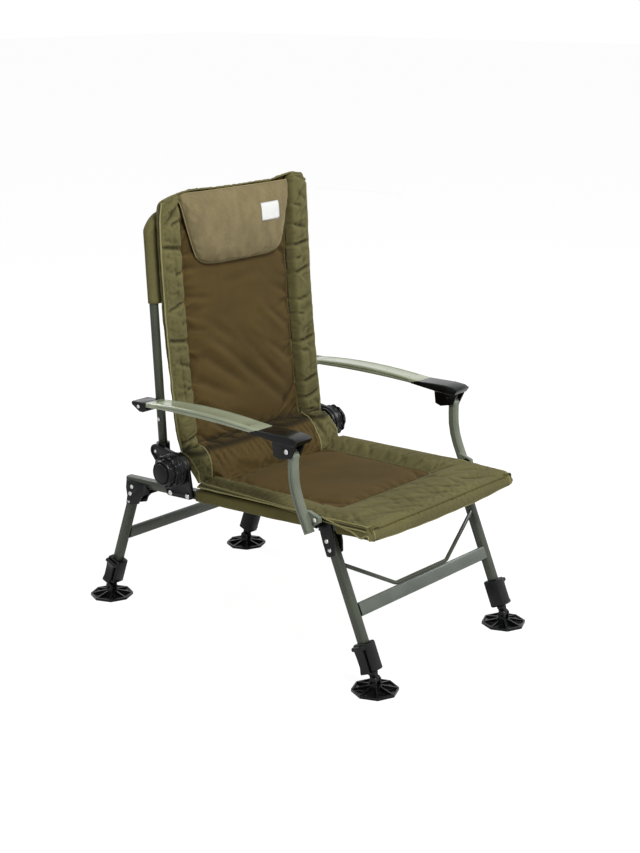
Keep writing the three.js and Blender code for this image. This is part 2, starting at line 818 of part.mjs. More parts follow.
// A mud foot: an eight-pointed pad with rim and ribs, a hub and two ears for the leg's tongue
function mudFoot(y) {
  const outline = (inset) =>
    Array.from({ length: footPoints }, (_, i) => {
      const turn = (2 * Math.PI * i) / footPoints;
      const radius = footRadius - inset;
      return [radius * Math.cos(turn), radius * Math.sin(turn)];
    });
  const plate = alongZ(polygon(outline(0)), 0, footPlate);
  const rimShape = polygon(outline(0));
  rimShape.holes.push(polygon(outline(footRimWidth)));
  const rim = alongZ(rimShape, 0, footRimHeight);
  const ribEnd = footRadius - footRimWidth / 2;
  const ribs = Array.from({ length: footPoints }, (_, i) =>
    alongX(
      polygon([
        [0, 0],
        [ribEnd, 0],
        [ribEnd, footRimHeight - restGap],
        [hubRadius, hubHeight - restGap],
        [0, hubHeight - restGap],
      ]),
      -footRibWidth / 2,
      footRibWidth / 2,
    ).rotateZ((2 * Math.PI * i) / footPoints),
  );
  const hub = rodZ(hubRadius, 0, hubHeight, 0, 0, footPoints);
  const earFrom = tongueWidth / 2 + runGap;
  const earTo = earFrom + footEarThickness;
  const earOutline = wrap([
    [0, footPinHeight, footEarRadius],
    [0, footEarRadius, footEarRadius],
  ]);
  const ears = [
    [earFrom, earTo],
    [-earTo, -earFrom],
  ].map(([from, to]) => alongX(earOutline, from, to));
  const pin = rodX(footPinRadius, -earTo, earTo, 0, footPinHeight);
  const heads = [1, -1].map((facing) =>
    headX(pinHeadRadius, pinHeadHeight, facing * (earTo - restGap), 0, footPinHeight, facing),
  );
  return carve([plate, rim, ...ribs, hub, ...ears, pin, ...heads]).translate(halfSpread, y, 0);
}

// Cross members between the legs
function crossbar(drop) {
  const half = halfSpread - legSide / 2 - restGap;
  const section = hollowRect(
    crossbarThickness,
    crossbarHeight,
    crossbarCorner,
    crossbarWall,
    -crossbarForward,
  );
  return alongX(section, -half, half).translate(0, 0, -drop);
}

// The front frame's brace rod rests on the crossbar and rises to both legs
function braceRod() {
  const low = crossbarHeight / 2 + restGap + rodRadius - frontCrossbarDrop;
  const high = low + rodRise;
  const corners = [
    [-halfSpread, high, 0],
    [-rodHalfRun, low, rodBend],
    [rodHalfRun, low, rodBend],
    [halfSpread, high, 0],
  ];
  const rod = bentBar(corners, rodRadius, 10, 3).translate(0, -crossbarForward, 0);
  const legFace = halfSpread - legSide / 2 - restGap;
  const legRoom = block(legFace, halfSpread + legSide, -legSide, legSide, low, high + legSide);
  return carve([rod], [legRoom, mirrored(legRoom)]);
}

for (const [word, frame] of Object.entries({ front: frontFrame, rear: rearFrame })) {
  addPair(`${word}_leg`, legTube(frame), frameGreen, frame.group);
  addPair(`${word}_leg_extension`, innerLeg(frame), steel, frame.group);
  addPair(`${word}_clamp`, legClamp(frame), blackPlastic, frame.group);
  addPair(`${word}_clamp_lever`, clampLever(frame), blackPlastic, frame.group);
  addPair(`${word}_foot`, mudFoot(frame.footY), blackPlastic);
}
add('front_crossbar', crossbar(frontCrossbarDrop), barGreen, frontFrame.group);
add('rear_crossbar', crossbar(rearCrossbarDrop), barGreen, rearFrame.group);
add('front_brace_rod', braceRod(), frameGreen, frontFrame.group);

// Recline hinge: a casting on each rail's outer side, one on the back, and the clamping knob
function lowerCasting() {
  const barRadius = castingBarHeight / 2;
  const barZ = hinge.z - castingDrop + barRadius;
  const ends = [hingeY - castingFront + barRadius, hingeY + castingRear - barRadius];
  const barEnds = ends.map((y) => [y, barZ + railSlope * (y - hingeY), barRadius]);
  const outline = wrap([[hingeY, hinge.z, lowerDiscRadius], ...barEnds], 20);
  const inner = wrap([
    [hingeY, hinge.z - lowerDiscRadius - castingRimWidth, barRadius],
    ...barEnds.map(([y, z]) => [y, z + castingRimWidth, castingRimWidth]),
  ]);
  const to = lowerCastingX + lowerCastingThickness;
  const plate = alongX(outline, lowerCastingX, to, { bevel: castingBevel });
  const recess = alongX(inner, to - castingRecess, to + overrun);
  const bolt = rodX(hingeBoltRadius, lowerCastingX, knobX + knobDepth / 2, hingeY, hinge.z, 16);
  const rivets = barEnds.map(([y, z]) => {
    const inset = Math.sign(hingeY - y) * (castingRivetInset - barRadius);
    return headX(rivetRadius, rivetHeight, to - castingRecess - restGap, y + inset, z);
  });
  const solid = carve([plate], [recess]);
  return carve([solid, bolt, ...rivets]);
}
addPair('lower_hinge_casting', lowerCasting(), blackPlastic);

// Forms drawn upright about the armrest pivot, leaned with the back
const backMatrix = new THREE.Matrix4()
  .makeTranslation(armPivot)
  .multiply(new THREE.Matrix4().makeRotationX(-backLean));
const onBack = (geometry) => geometry.applyMatrix4(backMatrix);

function upperCasting() {
  const to = upperCastingX + upperCastingThickness;
  const socketRadius = backTubeRadius + socketWall;
  const socketMiddle = new THREE.Vector3(0, 0, socketLength / 2 - socketDrop).applyMatrix4(
    backMatrix,
  );
  const outline = wrap(
    [
      [hingeY, hinge.z, upperDiscRadius],
      [socketMiddle.y, socketMiddle.z, socketRadius],
    ],
    20,
  );
  const plate = alongX(outline, upperCastingX, to, { bevel: castingBevel });
  const arm = alongX(
    wrap([[socketMiddle.y, socketMiddle.z, socketRadius - castingBevel]]),
    backHalfSpread,
    upperCastingX + castingBevel * 2,
  );
  const socket = onBack(
    rodZ(socketRadius, -socketDrop, socketLength - socketDrop, backHalfSpread, 0, 16),
  );
  const bore = onBack(
    rodZ(backTubeRadius + restGap, socketFloor - socketDrop, 0, backHalfSpread, 0, 16),
  );
  const boltHole = rodX(
    hingeBoltRadius + runGap,
    lowerCastingX,
    knobX + overrun,
    hingeY,
    hinge.z,
    16,
  );
  const recess = alongX(
    wrap([
      [hingeY + upperDiscRadius + castingRimWidth, hinge.z + upperDiscRadius / 2, castingRimWidth],
      [socketMiddle.y, socketMiddle.z, socketRadius - castingRimWidth],
    ]),
    to - castingRecess,
    to + overrun,
  );
  return carve([plate, arm, socket], [bore, boltHole, recess]);
}
addPair('upper_hinge_casting', upperCasting(), blackPlastic);

// The knob's grip is lobed where the hand turns it and tapers to a flat face with a cap
const knobShares = [
  [0, 0.97, 0],
  [0.08, 1, 0],
  [0.16, 1, 1],
  [0.8, 0.8, 1],
  [0.94, 0.74, 0.4],
  [1, 0.69, 0],
];

function clampKnob() {
  const rings = knobShares.map(([depth, size, lobes]) =>
    Array.from({ length: knobRoundness }, (_, i) => {
      const turn = (2 * Math.PI * i) / knobRoundness;
      const valley = (1 - Math.cos(knobLobes * turn)) / 2;
      const radius = size * knobBaseRadius - lobes * knobLobeDepth * valley;
      return new THREE.Vector3(
        knobX + depth * knobDepth,
        hingeY + radius * Math.cos(turn),
        hinge.z + radius * Math.sin(turn),
      );
    }),
  );
  const face = knobX + knobDepth;
  const bore = rodX(
    hingeBoltRadius + runGap,
    knobX - overrun,
    knobX + knobDepth / 2 + restGap,
    hingeY,
    hinge.z,
    16,
  );
  const cap = rodX(knobCapRadius, face - overrun, face + knobCapHeight, hingeY, hinge.z, 18);
  const groove = rodX(
    knobFaceRadius - knobGrooveInset,
    face - knobGrooveDepth,
    face + overrun,
    hingeY,
    hinge.z,
    18,
  );
  const solid = carve([loft(rings)], [bore, groove]);
  return carve([solid, cap]);
}
addPair('recline_knob', clampKnob(), blackPlastic);

// Back frame: two side tubes in the castings' sockets and a top bow between them
const sideTubeTop = backTopRise - backBend - backTubeRadius;

function sideTube() {
  const tube = alongZ(
    ring(backTubeRadius, backTubeWall),
    socketFloor + restGap - socketDrop,
    sideTubeTop - restGap,
    { segments: 8 },
  );
  const pin = rodX(rearPinRadius, 0, backTubeRadius + rearPinReach, 0, 0);
  return onBack(carve([tube, pin]).translate(backHalfSpread, 0, 0));
}
addPair('back_tube', sideTube(), frameGreen);

function topBow() {
  const corners = [
    [-backHalfSpread, sideTubeTop, 0],
    [-backHalfSpread, backTopRise, backBend],
    [backHalfSpread, backTopRise, backBend],
    [backHalfSpread, sideTubeTop, 0],
  ];
  return onBack(bentBar(corners, backTubeRadius, 14, 6));
}
add('back_top_bow', topBow(), frameGreen);

// A cloth hood over the top of the back frame, open below
function backHood() {
  const outerRadius = backTubeRadius + clothStack;
  const innerRadius = backTubeRadius + restGap;
  const bottom = backTopRise - hoodDepth;
  const shell = (grow, from) =>
    alongY(
      archOutline(from, backTopRise + grow, backHalfSpread + grow, backBend + grow),
      -grow,
      grow,
      { segments: 3 },
    );
  return onBack(carve([shell(outerRadius, bottom)], [shell(innerRadius, bottom - overrun)]));
}
add('back_hood', backHood(), oliveCloth);

// Armrests: each a crowned bar with a moulded cap at both ends
const armMiddle = (armPivot.y - armRearInset + postTop.y + armFrontTop) / 2;
const armHalf = armMiddle - (postTop.y + armFrontTop);
const armTopAt = (y) => armPivot.z + armCrown - armTopFall * ((y - armMiddle) / armHalf) ** 2;
const armUnderAt = (y) =>
  armPivot.z + armCrown - armDepth - armUnderFall * ((y - armMiddle) / armHalf) ** 2;
const armRear = armPivot.y - armRearInset;
const armInnerX = armX - armWidth / 2;
const armOuterX = armX + armWidth / 2;

function armBar() {
  const steps = 8;
  const run = (from, to, height) =>
    Array.from({ length: steps + 1 }, (_, i) => {
      const y = mix(from, to, i / steps);
      return [y, height(y)];
    });
  const outline = polygon([
    ...run(postTop.y + armFrontUnder, armRear, armUnderAt),
    ...run(armRear, postTop.y + armFrontTop, armTopAt),
  ]);
  const bar = alongX(outline, armInnerX, armOuterX, { bevel: armBevel, bevelSegments: 2 });
  const ahead = postTop.y + armFrontTop + armPlainEnd;
  const behind = armRear - armPlainEnd;
  const grooveAt = (side) => (y) => mix(armUnderAt(y), armTopAt(y), 0.55) + side * armGrooveWidth;
  const groove = polygon([
    ...run(ahead, behind, grooveAt(-0.5)),
    ...run(behind, ahead, grooveAt(0.5)),
  ]);
  const recess = polygon([
    ...run(ahead, behind, (y) => armTopAt(y) - armTopRecess),
    ...run(behind, ahead, (y) => armTopAt(y) + overrun),
  ]);
  return carve(
    [bar],
    [
      alongX(groove, armInnerX - overrun, armInnerX + armGrooveDepth),
      alongX(groove, armOuterX - armGrooveDepth, armOuterX + overrun),
      alongX(recess, armInnerX + armEdgeWidth, armOuterX - armEdgeWidth),
    ],
  );
}
addPair('armrest', armBar(), armGreen);

// The front cap carries the pin of the post between two cheeks
const cheekShares = [
  [-0.76, 0.36],
  [-0.42, -0.34],
  [0.45, -0.55],
  [0.84, -0.42],
  [0.95, 0.45],
];

function armFrontCap() {
  const topY = postTop.y + armFrontTop - restGap;
  const underY = postTop.y + armFrontUnder - restGap;
  const noseZ = armUnderAt(topY);
  const capTop = armTopAt(topY);
  const body = alongX(
    polygon([
      [underY, armUnderAt(underY)],
      [topY, capTop],
      [postTop.y, capTop + capBevel],
      [postTop.y - capLength * 0.7, capTop],
      [postTop.y - capLength, (capTop + noseZ) / 2],
      [postTop.y - capLength * 0.8, noseZ - capBevel * 3],
      [postTop.y - capLength * 0.5, noseZ - capBevel * 4],
      [postTop.y + capLength * 0.6, noseZ - capBevel * 3],
    ]),
    armInnerX,
    armOuterX,
    { bevel: capBevel },
  );
  const inner = postSide / 2 + restGap;
  const outer = inner + cheekThickness;
  const outline = shareOutline(cheekShares, capLength, postTop.y, postTop.z);
  const cheeks = [
    [inner, outer],
    [-outer, -inner],
  ].map(([from, to]) => alongX(outline, postX + from, postX + to, { bevel: earBevel }));
  const pin = rodX(postPinRadius, postX - outer, postX + outer, postTop.y, postTop.z);
  const heads = [1, -1].map((facing) => {
    const face = postX + facing * (outer - restGap);
    return headX(rivetRadius, rivetHeight, face, postTop.y, postTop.z, facing);
  });
  return carve([body, ...cheeks, pin, ...heads]);
}
addPair('arm_front_cap', armFrontCap(), blackPlastic);

// The rear cap turns on the back tube's pin
function armRearCap() {
  const front = armRear + restGap;
  const rear = armPivot.y + rearCapLength;
  const bottom = armPivot.z - rearCapRadius;
  const body = alongX(
    polygon([
      [front, armUnderAt(armRear) - capBevel],
      [armPivot.y - rearCapRadius / 2, bottom],
      [armPivot.y + rearCapRadius / 2, bottom],
      [rear, armUnderAt(armRear)],
      [rear, armTopAt(armRear) - capBevel * 2],
      [rear - capBevel * 2, armTopAt(armRear) - capBevel],
      [front, armTopAt(armRear)],
    ]),
    armInnerX + restGap * 3,
    armOuterX - restGap,
    { bevel: capBevel },
  );
  const bore = rodX(
    rearPinRadius + runGap,
    armInnerX - overrun,
    backHalfSpread + backTubeRadius + rearPinReach + restGap,
    armPivot.y,
    armPivot.z,
  );
  return carve([body], [bore]);
}
addPair('arm_rear_cap', armRearCap(), blackPlastic);

// Posts: a bent tube with a lug at the foot for the pin and an eye at the top
const postBendShares = [
  [0.91, -0.03],
  [0.7, 0.065],
  [0.5, 0.14],
  [0.33, 0.17],
  [0.17, 0.18],
  [-0.03, 0.175],
  [-0.21, 0.166],
];
const lugShares = [
  [0.2, 0.1],
  [0.13, 0.1],
  [-0.06, 0.045],
  [-0.075, -0.03],
  [0.06, -0.13],
  [0.16, -0.12],
];

function armPost() {
  const centres = postBendShares.map(([height, back]) => {
    const y = postPivot.y + back * crankRise + height * crankBack;
    return new THREE.Vector3(0, y, postPivot.z + height * crankRise);
  });
  const curve = new THREE.CatmullRomCurve3(centres);
  const steps = 7;
  const edge = (offset) =>
    Array.from({ length: steps + 1 }, (_, i) => {
      const point = curve.getPointAt(i / steps);
      const run = curve.getTangentAt(i / steps);
      return [point.y - run.z * offset, point.z + run.y * offset];
    });
  const outline = polygon([...edge(postSide / 2), ...edge(-postSide / 2).reverse()]);
  const from = postX - postSide / 2;
  const to = postX + postSide / 2;
  const tube = alongX(outline, from, to, { bevel: postBevel });
  const eye = alongX(
    wrap([
      [postTop.y, postTop.z, postLugRadius],
      [centres[0].y, centres[0].z, postLugRadius],
    ]),
    from,
    to,
  );
  const lug = alongX(
    shareOutline(lugShares, crankRise, postPivot.y, postPivot.z),
    postLugX,
    postLugX + postLugThickness + postBevel,
  );
  const pinRoom = postPinRadius + runGap;
  const eyeHole = rodX(pinRoom, from - overrun, to + overrun, postTop.y, postTop.z);
  const lugHole = rodX(pinRoom, postLugX - overrun, from + overrun, postPivot.y, postPivot.z);
  const grooveOutline = polygon([
    ...edge(armGrooveWidth / 2).slice(1),
    ...edge(-armGrooveWidth / 2).slice(1).reverse(),
  ]);
  const groove = alongX(grooveOutline, to - armGrooveDepth, to + overrun);
  return carve([tube, eye, lug], [eyeHole, lugHole, groove]);
}
addPair('arm_post', armPost(), armGreen);

// The post's bracket stands off the leg bracket's outer ear and carries the post's pin
function postBracket() {
  const footZ = railCentre(postPivot.y);
  const spacerHeight = railHeight * 0.6;
  const earFace = halfSpread + earOuter + restGap;
  const plate = alongX(
    wrap([
      [postPivot.y, postPivot.z, postLugRadius],
      [postPivot.y + postLugRadius, footZ, spacerHeight / 2],
    ]),
    postBracketInner,
    postBracketOuter,
    { bevel: earBevel },
  );
  const spacerEnd = postBracketInner + earBevel * 2;
  const spacerY = postPivot.y + postLugRadius;
  const spacer = rodX(spacerHeight / 2, earFace, spacerEnd, spacerY, footZ, 16);
  const pinEnd = postLugX + postLugThickness + postBevel + restGap;
  const pin = rodX(postPinRadius, postBracketInner + earBevel, pinEnd, postPivot.y, postPivot.z);
  const head = headX(rivetRadius, rivetHeight, pinEnd, postPivot.y, postPivot.z);
  return carve([plate, spacer, pin, head]);
}
addPair('post_bracket', postBracket(), blackPlastic);

// Seat sling: a sagging sheet with sleeves round the rails and hems round the cross tubes
const sheetHalf = halfSpread - railWidth / 2 + restGap * 2;

function sheetTop(x, y, half = sheetHalf) {
  const across = Math.min(1, Math.abs(x) / half);
  const along = (2 * y - frontTubeY - rearTubeY) / (rearTubeY - frontTubeY);
  const sag = seatSag * (1 - across ** 2) * Math.max(0, 1 - along ** 2);
  return railTop(y) + clothStack - sag;
}

function seatSling() {
  const across = evenSteps(12);
  const along = evenSteps(12);
  const sheet = padded(across, along, (u, v, side) => {
    const x = u * (sheetHalf + railCorner);
    const y = mix(frontTubeY, rearTubeY, (v + 1) / 2);
    return new THREE.Vector3(x, y, sheetTop(x, y) - ((1 - side) / 2) * cloth);
  });
  const sleeveEnd = sleeveFrontY + alongRail(sleeveRearY - sleeveFrontY);
  const sleeve = onRail(
    alongY(
      hollowRect(
        railHeight + 2 * clothStack,
        railWidth + 2 * clothStack,
        railCorner + clothStack,
        cloth,
      ),
      sleeveFrontY,
      sleeveEnd,
    ).translate(halfSpread, 0, 0),
  );
  const inside = halfSpread - railWidth / 2 - restGap;
  const hem = (y) => rodX(crossTubeRadius + clothStack, -inside, inside, y, railCentre(y), 16);
  const tubeRoom = (y) => {
    const radius = crossTubeRadius + restGap;
    return rodX(radius, -inside - overrun / 2, inside + overrun / 2, y, railCentre(y), 16);
  };
  const notch = block(
    halfSpread - earOuter - notchMargin,
    halfSpread + earOuter + notchMargin,
    frontPivotY - frontEarHeight * 0.2 - notchMargin,
    frontPivotY + frontEarHeight * 0.35 + notchMargin,
    frontPivot.z,
    railTop(frontPivotY) + overrun * 2,
  );
  return carve(
    [sheet, sleeve, mirrored(sleeve), hem(frontTubeY), hem(rearTubeY)],
    [tubeRoom(frontTubeY), tubeRoom(rearTubeY), notch, mirrored(notch)],
  );
}
add('seat_sling', seatSling(), oliveCloth);

// Seat pad: a raised border round a sunken middle panel, lying on the sling
function seatPad() {
  const padSagHalf = sheetHalf - railCorner * 4;
  const outsetAt = (y) => mix(padFrontOutset, padOutset, smooth(padFrontY, padRearY, y));
  return geometryOf(
    solidOf(
      padded(seamSteps(18), seamSteps(18), (u, v, side) => {
        const y = mix(padFrontY, padRearY, (v + 1) / 2);
        const x = u * (halfSpread + outsetAt(y));
        const low = sheetTop(x, y, padSagHalf) + padGap;
        const crest = mix(padFrontCrest, padRearCrest, (v + 1) / 2);
        const inPanel = 1 - smooth(padPanelHalf, padBorderHalf, Math.abs(x));
        const behind = smooth(padPanelFrontY - padPanelRamp, padPanelFrontY, y);
        const high = railTop(y) + crest - padDip * inPanel * behind;
        const seam = mix(low, high, 0.35);
        const full = fullness(u, 8) * fullness(v, 16);
        const target = side > 0 ? high : low;
        return new THREE.Vector3(x, y, side === 0 ? seam : mix(seam, target, full));
      }),
    ),
  );
}
add('seat_pad', seatPad(), brownCloth);

// Back cushion: two quilted bolsters beside a panel, bowed like the sitter's back
function cushionEdge(z) {
  const share = (z - cushionBottom) / (cushionTop - cushionBottom);
  return mix(cushionBottomY, cushionTopY, share) + cushionBow * Math.sin(Math.PI * share);
}

function cushionFront(x, z) {
  const reach = Math.abs(x);
  const edge = cushionEdge(z);
  if (reach < cushionPanelHalf) {
    return edge + panelSet - panelCrown * (1 - (reach / cushionPanelHalf) ** 2);
  }
  const across = Math.min(1, (reach - cushionPanelHalf) / (cushionHalfWidth - cushionPanelHalf));
  const spacing = (cushionTop - cushionBottom) / quiltCount;
  const quilt = quiltDip * Math.abs(Math.cos((Math.PI * (z - cushionBottom)) / spacing));
  const crest = (bolsterCrest - quilt) * Math.sin(Math.PI * across);
  return edge + panelSet * (1 - across) ** 2 - crest;
}

function cushionRear(z) {
  const hoodFront = armPivot.y + Math.tan(backLean) * (z - armPivot.z);
  const seat = hoodFront - (backTubeRadius + clothStack + padGap) / Math.cos(backLean);
  const hoodBottom = armPivot.z + backTopRise - hoodDepth;
  const loose = cushionEdge(z) + cushionDepth;
  return mix(Math.min(loose, seat), seat, smooth(hoodBottom - hoodDepth, hoodBottom, z));
}

function backCushion() {
  const cornerShare = 0.045; // how far the corners are drawn in
  return padded(seamSteps(14), seamSteps(28), (u, v, side) => {
    const x = u * cushionHalfWidth * (1 - cornerShare * Math.abs(v) ** 10);
    const middle = (cushionTop + cushionBottom) / 2;
    const half = (cushionTop - cushionBottom) / 2;
    const z = middle + v * half * (1 - (cornerShare / 2) * Math.abs(u) ** 6);
    const front = cushionFront(x, z);
    const rear = cushionRear(z);
    const seam = mix(Math.min(front, cushionEdge(z)), rear, 0.3);
    const full = fullness(u, 12) * fullness(v, 30);
    const target = side > 0 ? front : rear;
    return new THREE.Vector3(x, side === 0 ? seam : mix(seam, target, full), z);
  });
}
add('back_cushion', backCushion(), oliveCloth);

// Head pillow: wide at the top, rounded below, on the cushion's middle panel
function headPillow() {
  return padded(seamSteps(14), seamSteps(10), (u, v, side) => {
    const height = (v + 1) / 2;
    const half = mix(pillowBottomHalf, pillowTopHalf, Math.sin((height * Math.PI) / 2));
    const x = u * half;
    const lift = (1 - height) * (pillowTop - pillowBottom) * 0.12 * u ** 4;
    const z = mix(pillowBottom, pillowTop, height) + lift;
    const rear = cushionFront(x, z) - padGap;
    const full = fullness(u, 4) * fullness(v, 4);
    const seam = rear - pillowThickness * 0.12;
    const front = seam - pillowThickness * 0.88 * full;
    const target = side > 0 ? front : mix(seam, rear, full);
    return new THREE.Vector3(x, side === 0 ? seam : target, z);
  });
}
add('head_pillow', headPillow(), khakiPlush);

// Lumbar roll: bridges the seat pad and the back cushion and bends as the back reclines
function lumbarRoll() {
  const run = rollRear.clone().sub(rollFront);
  const out = new THREE.Vector2(-run.y, run.x).normalize();
  return padded(seamSteps(14), seamSteps(8), (u, v, side) => {
    const share = (v + 1) / 2;
    const full = fullness(u, 8) * fullness(v, 2);
    const lift = (side > 0 ? rollBulge : -rollUnder) * full * Math.abs(side);
    return new THREE.Vector3(
      u * rollHalfWidth,
      rollFront.x + run.x * share + out.x * lift,
      rollFront.y + run.y * share + out.y * lift,
    );
  });
}
add('lumbar_roll', lumbarRoll(), oliveCloth);

export default chair;
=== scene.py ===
# A folding angling chair with a padded, reclining back. Metres, +Z up, the sitter faces -Y.
import math
import random

import bpy
import numpy as np
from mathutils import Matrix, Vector, noise
from mathutils.bvhtree import BVHTree


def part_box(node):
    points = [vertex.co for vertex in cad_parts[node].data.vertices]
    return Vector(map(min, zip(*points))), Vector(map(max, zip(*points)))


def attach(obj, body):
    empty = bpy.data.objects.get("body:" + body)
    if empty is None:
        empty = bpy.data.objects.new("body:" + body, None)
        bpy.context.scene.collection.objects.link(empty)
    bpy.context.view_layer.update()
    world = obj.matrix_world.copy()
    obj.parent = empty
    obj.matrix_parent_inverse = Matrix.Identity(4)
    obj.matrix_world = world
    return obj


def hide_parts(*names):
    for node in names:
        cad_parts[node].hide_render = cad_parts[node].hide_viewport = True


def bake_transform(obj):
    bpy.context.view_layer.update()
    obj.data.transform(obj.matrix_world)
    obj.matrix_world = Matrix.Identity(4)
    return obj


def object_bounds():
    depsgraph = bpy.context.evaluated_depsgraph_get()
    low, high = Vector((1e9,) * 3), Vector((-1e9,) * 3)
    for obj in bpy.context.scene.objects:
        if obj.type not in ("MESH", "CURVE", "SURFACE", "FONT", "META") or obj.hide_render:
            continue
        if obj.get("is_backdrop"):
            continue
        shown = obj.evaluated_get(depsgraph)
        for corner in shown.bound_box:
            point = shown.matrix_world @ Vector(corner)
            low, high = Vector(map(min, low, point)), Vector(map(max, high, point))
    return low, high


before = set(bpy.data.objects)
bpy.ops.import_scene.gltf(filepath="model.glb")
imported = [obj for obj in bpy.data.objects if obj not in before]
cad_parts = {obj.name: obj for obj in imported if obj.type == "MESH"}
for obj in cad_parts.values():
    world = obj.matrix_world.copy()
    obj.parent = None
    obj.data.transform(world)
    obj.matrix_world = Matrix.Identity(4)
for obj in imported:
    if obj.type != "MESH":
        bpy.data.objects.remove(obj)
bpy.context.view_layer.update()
MM = 0.001
SIDES = (("left", 1), ("right", -1))  # as the sitter has them, with the sign of x

# Camera and light
LENS = 66.0
CAMERA_PLACE = Vector((-2.533, -2.2355, 1.4037))
CAMERA_AIM = Vector((0.0, -0.0515, 0.449))

# Seat frame and the cloth that is sewn round its tubes
RAIL_HEIGHT = 22 * MM
RAIL_WIDTH = 20 * MM
RAIL_X = 232 * MM
CROSS_TUBE_RADIUS = 10 * MM
CLOTH = 1.4 * MM
CLOTH_GAP = 0.4 * MM
SLING_FRONT_Y = -400 * MM
SLING_REAR_Y = 98 * MM
SLEEVE_CORNER = 5.5 * MM
SLEEVE_FOLD = 3.2 * MM
SLING_FOLD = 0.8 * MM
HEM_FOLD = 0.7 * MM
SEAT_SAG = 24 * MM

# Seat cushion
SEAT_REAR_Y = 92 * MM
SEAT_BEND_Y = -378 * MM
SEAT_BEND_RADIUS = 25 * MM
SEAT_HALF_REAR = 247 * MM
SEAT_HALF_FRONT = 253 * MM
SEAT_CREST_REAR = 27 * MM
SEAT_CREST_FRONT = 9 * MM
SEAT_DIP = 19 * MM
SEAT_EDGE_DROP = 3 * MM
SEAT_UNDERCUT = 6 * MM
SEAT_SKIRT = 24 * MM
SEAT_HEM_CORNER = 330 * MM
SEAT_HEM_MIDDLE = 320 * MM
SEAT_FLAP_THICKNESS = 8 * MM
SEAT_PANEL_HALF = 166 * MM
SEAT_PANEL_FRONT = -243 * MM
SEAT_PANEL_CORNER = 26 * MM

# Back cushion
BACK_HALF = 238 * MM
BACK_BOTTOM = 401 * MM
BACK_FOOT_Y = 149 * MM
BACK_HEAD_Y = 194.5 * MM
BACK_HEAD = 967 * MM
BACK_BOW = 7.7 * MM
BACK_PANEL_HALF = 176 * MM
BACK_PANEL_DEPTH = 15 * MM
BACK_PANEL_CROWN = 5 * MM
BACK_SEAM_DEPTH = 8 * MM
BACK_SEAM_REACH = 3.5 * MM
BACK_TOP_DROP = 2 * MM
BOLSTER_CREST = 7 * MM
BACK_THICKNESS = 21 * MM
# Points of its top edge as seen from the front, in x and z, in millimetres
BACK_OUTLINE = [
    (-239, 943), (-232, 953), (-214, 958), (-180, 964), (-146, 968), (-120, 968), (-60, 966),
    (0, 966), (60, 967), (118, 967), (136, 971), (186, 978), (212, 974), (230, 958), (239, 941),
]

# Frame tubes behind the back cushion
ARM_PIVOT_Y = 211.5 * MM
ARM_PIVOT_Z = 507.46 * MM
BACK_LEAN = math.radians(3.1)
BACK_TUBE_RADIUS = 10 * MM
HOOD_BOTTOM = 728 * MM
HOOD_CORNER = 62 * MM
HOOD_SINK = 3.5 * MM
HOOD_FOLD = 2.4 * MM

# Head pillow
PILLOW_BOTTOM = 800 * MM
PILLOW_TOP = 960 * MM
PILLOW_HALF_LOW = 135 * MM
PILLOW_HALF_HIGH = 177 * MM
PILLOW_THICKNESS = 38 * MM
PILLOW_CORNER_LIFT = 20 * MM
PILLOW_SINK = 5 * MM
LABEL_INNER, LABEL_OUTER = 45 * MM, 110 * MM
LABEL_LOW, LABEL_HIGH = 881 * MM, 922 * MM
LABEL_LIFT = 0.75 * MM
LABEL_HALF_THICKNESS = 0.35 * MM

# Lumbar roll
ROLL_HALF = 238 * MM
ROLL_FRONT = Vector((0, 76 * MM, 336 * MM))
ROLL_REAR = Vector((0, 160 * MM, 402 * MM))
ROLL_BULGE = 25 * MM
ROLL_END_TAPER = 8 * MM
ROLL_UNDER = 9 * MM
ROLL_GUSSET = 180 * MM
ROLL_LEAN = 32 * MM
ROLL_END_LEAN = 12 * MM
ROLL_TUCK = 9 * MM
ROLL_SINK = 3 * MM

# Piping and stitches
PIPING_RADIUS = 1.9 * MM
STITCH_LENGTH = 3.6 * MM
STITCH_SPACING = 5.6 * MM
STITCH_RADIUS = 0.45 * MM
STITCH_LIFT = 0.1 * MM
WAVER_SPACING = 9 * MM


# Nodes, the wires between them and finishes

class Signal:
    """A value on a wire between nodes. Sums and products of signals add Math nodes."""

    def __init__(self, nodes, socket):
        self.nodes = nodes
        self.socket = socket

    def math(self, operation, first, second=0.0):
        return self.nodes.node("ShaderNodeMath", {"operation": operation}, [first, second])

    def __add__(self, other):
        return self.math("ADD", self, other)

    def __radd__(self, other):
        return self.math("ADD", other, self)

    def __sub__(self, other):
        return self.math("SUBTRACT", self, other)

    def __rsub__(self, other):
        return self.math("SUBTRACT", other, self)

    def __mul__(self, other):
        return self.math("MULTIPLY", self, other)

    def __rmul__(self, other):
        return self.math("MULTIPLY", other, self)

    def __truediv__(self, other):
        return self.math("DIVIDE", self, other)

    def __abs__(self):
        return self.math("ABSOLUTE", self)

    def sine(self):
        return self.math("SINE", self)

    def root(self):
        return self.math("SQRT", self)

    def most(self, other):
        return self.math("MAXIMUM", self, other)

    def step(self, low, high):
        """From 0 at low to 1 at high, smoothly."""
        settings = {"interpolation_type": "SMOOTHSTEP"}
        return self.nodes.node("ShaderNodeMapRange", settings, {0: self, 1: low, 2: high})


class Nodes:
    """A node tree under construction, empty at first."""

    def __init__(self, tree):
        self.tree = tree
        tree.nodes.clear()

    def node(self, kind, settings=None, inputs=None, output=0):
        """Adds one node and returns one of its outputs, where it has any, as a signal."""
        made = self.tree.nodes.new(kind)
        for name, value in (settings or {}).items():
            setattr(made, name, value)
        pairs = inputs.items() if isinstance(inputs, dict) else enumerate(inputs or [])
        for key, value in pairs:
            self.feed(made.inputs[key], value)
        return Signal(self, made.outputs[output]) if made.outputs else None

    def feed(self, socket, value):
        if isinstance(value, Signal):
            self.tree.links.new(value.socket, socket)
        else:
            socket.default_value = value


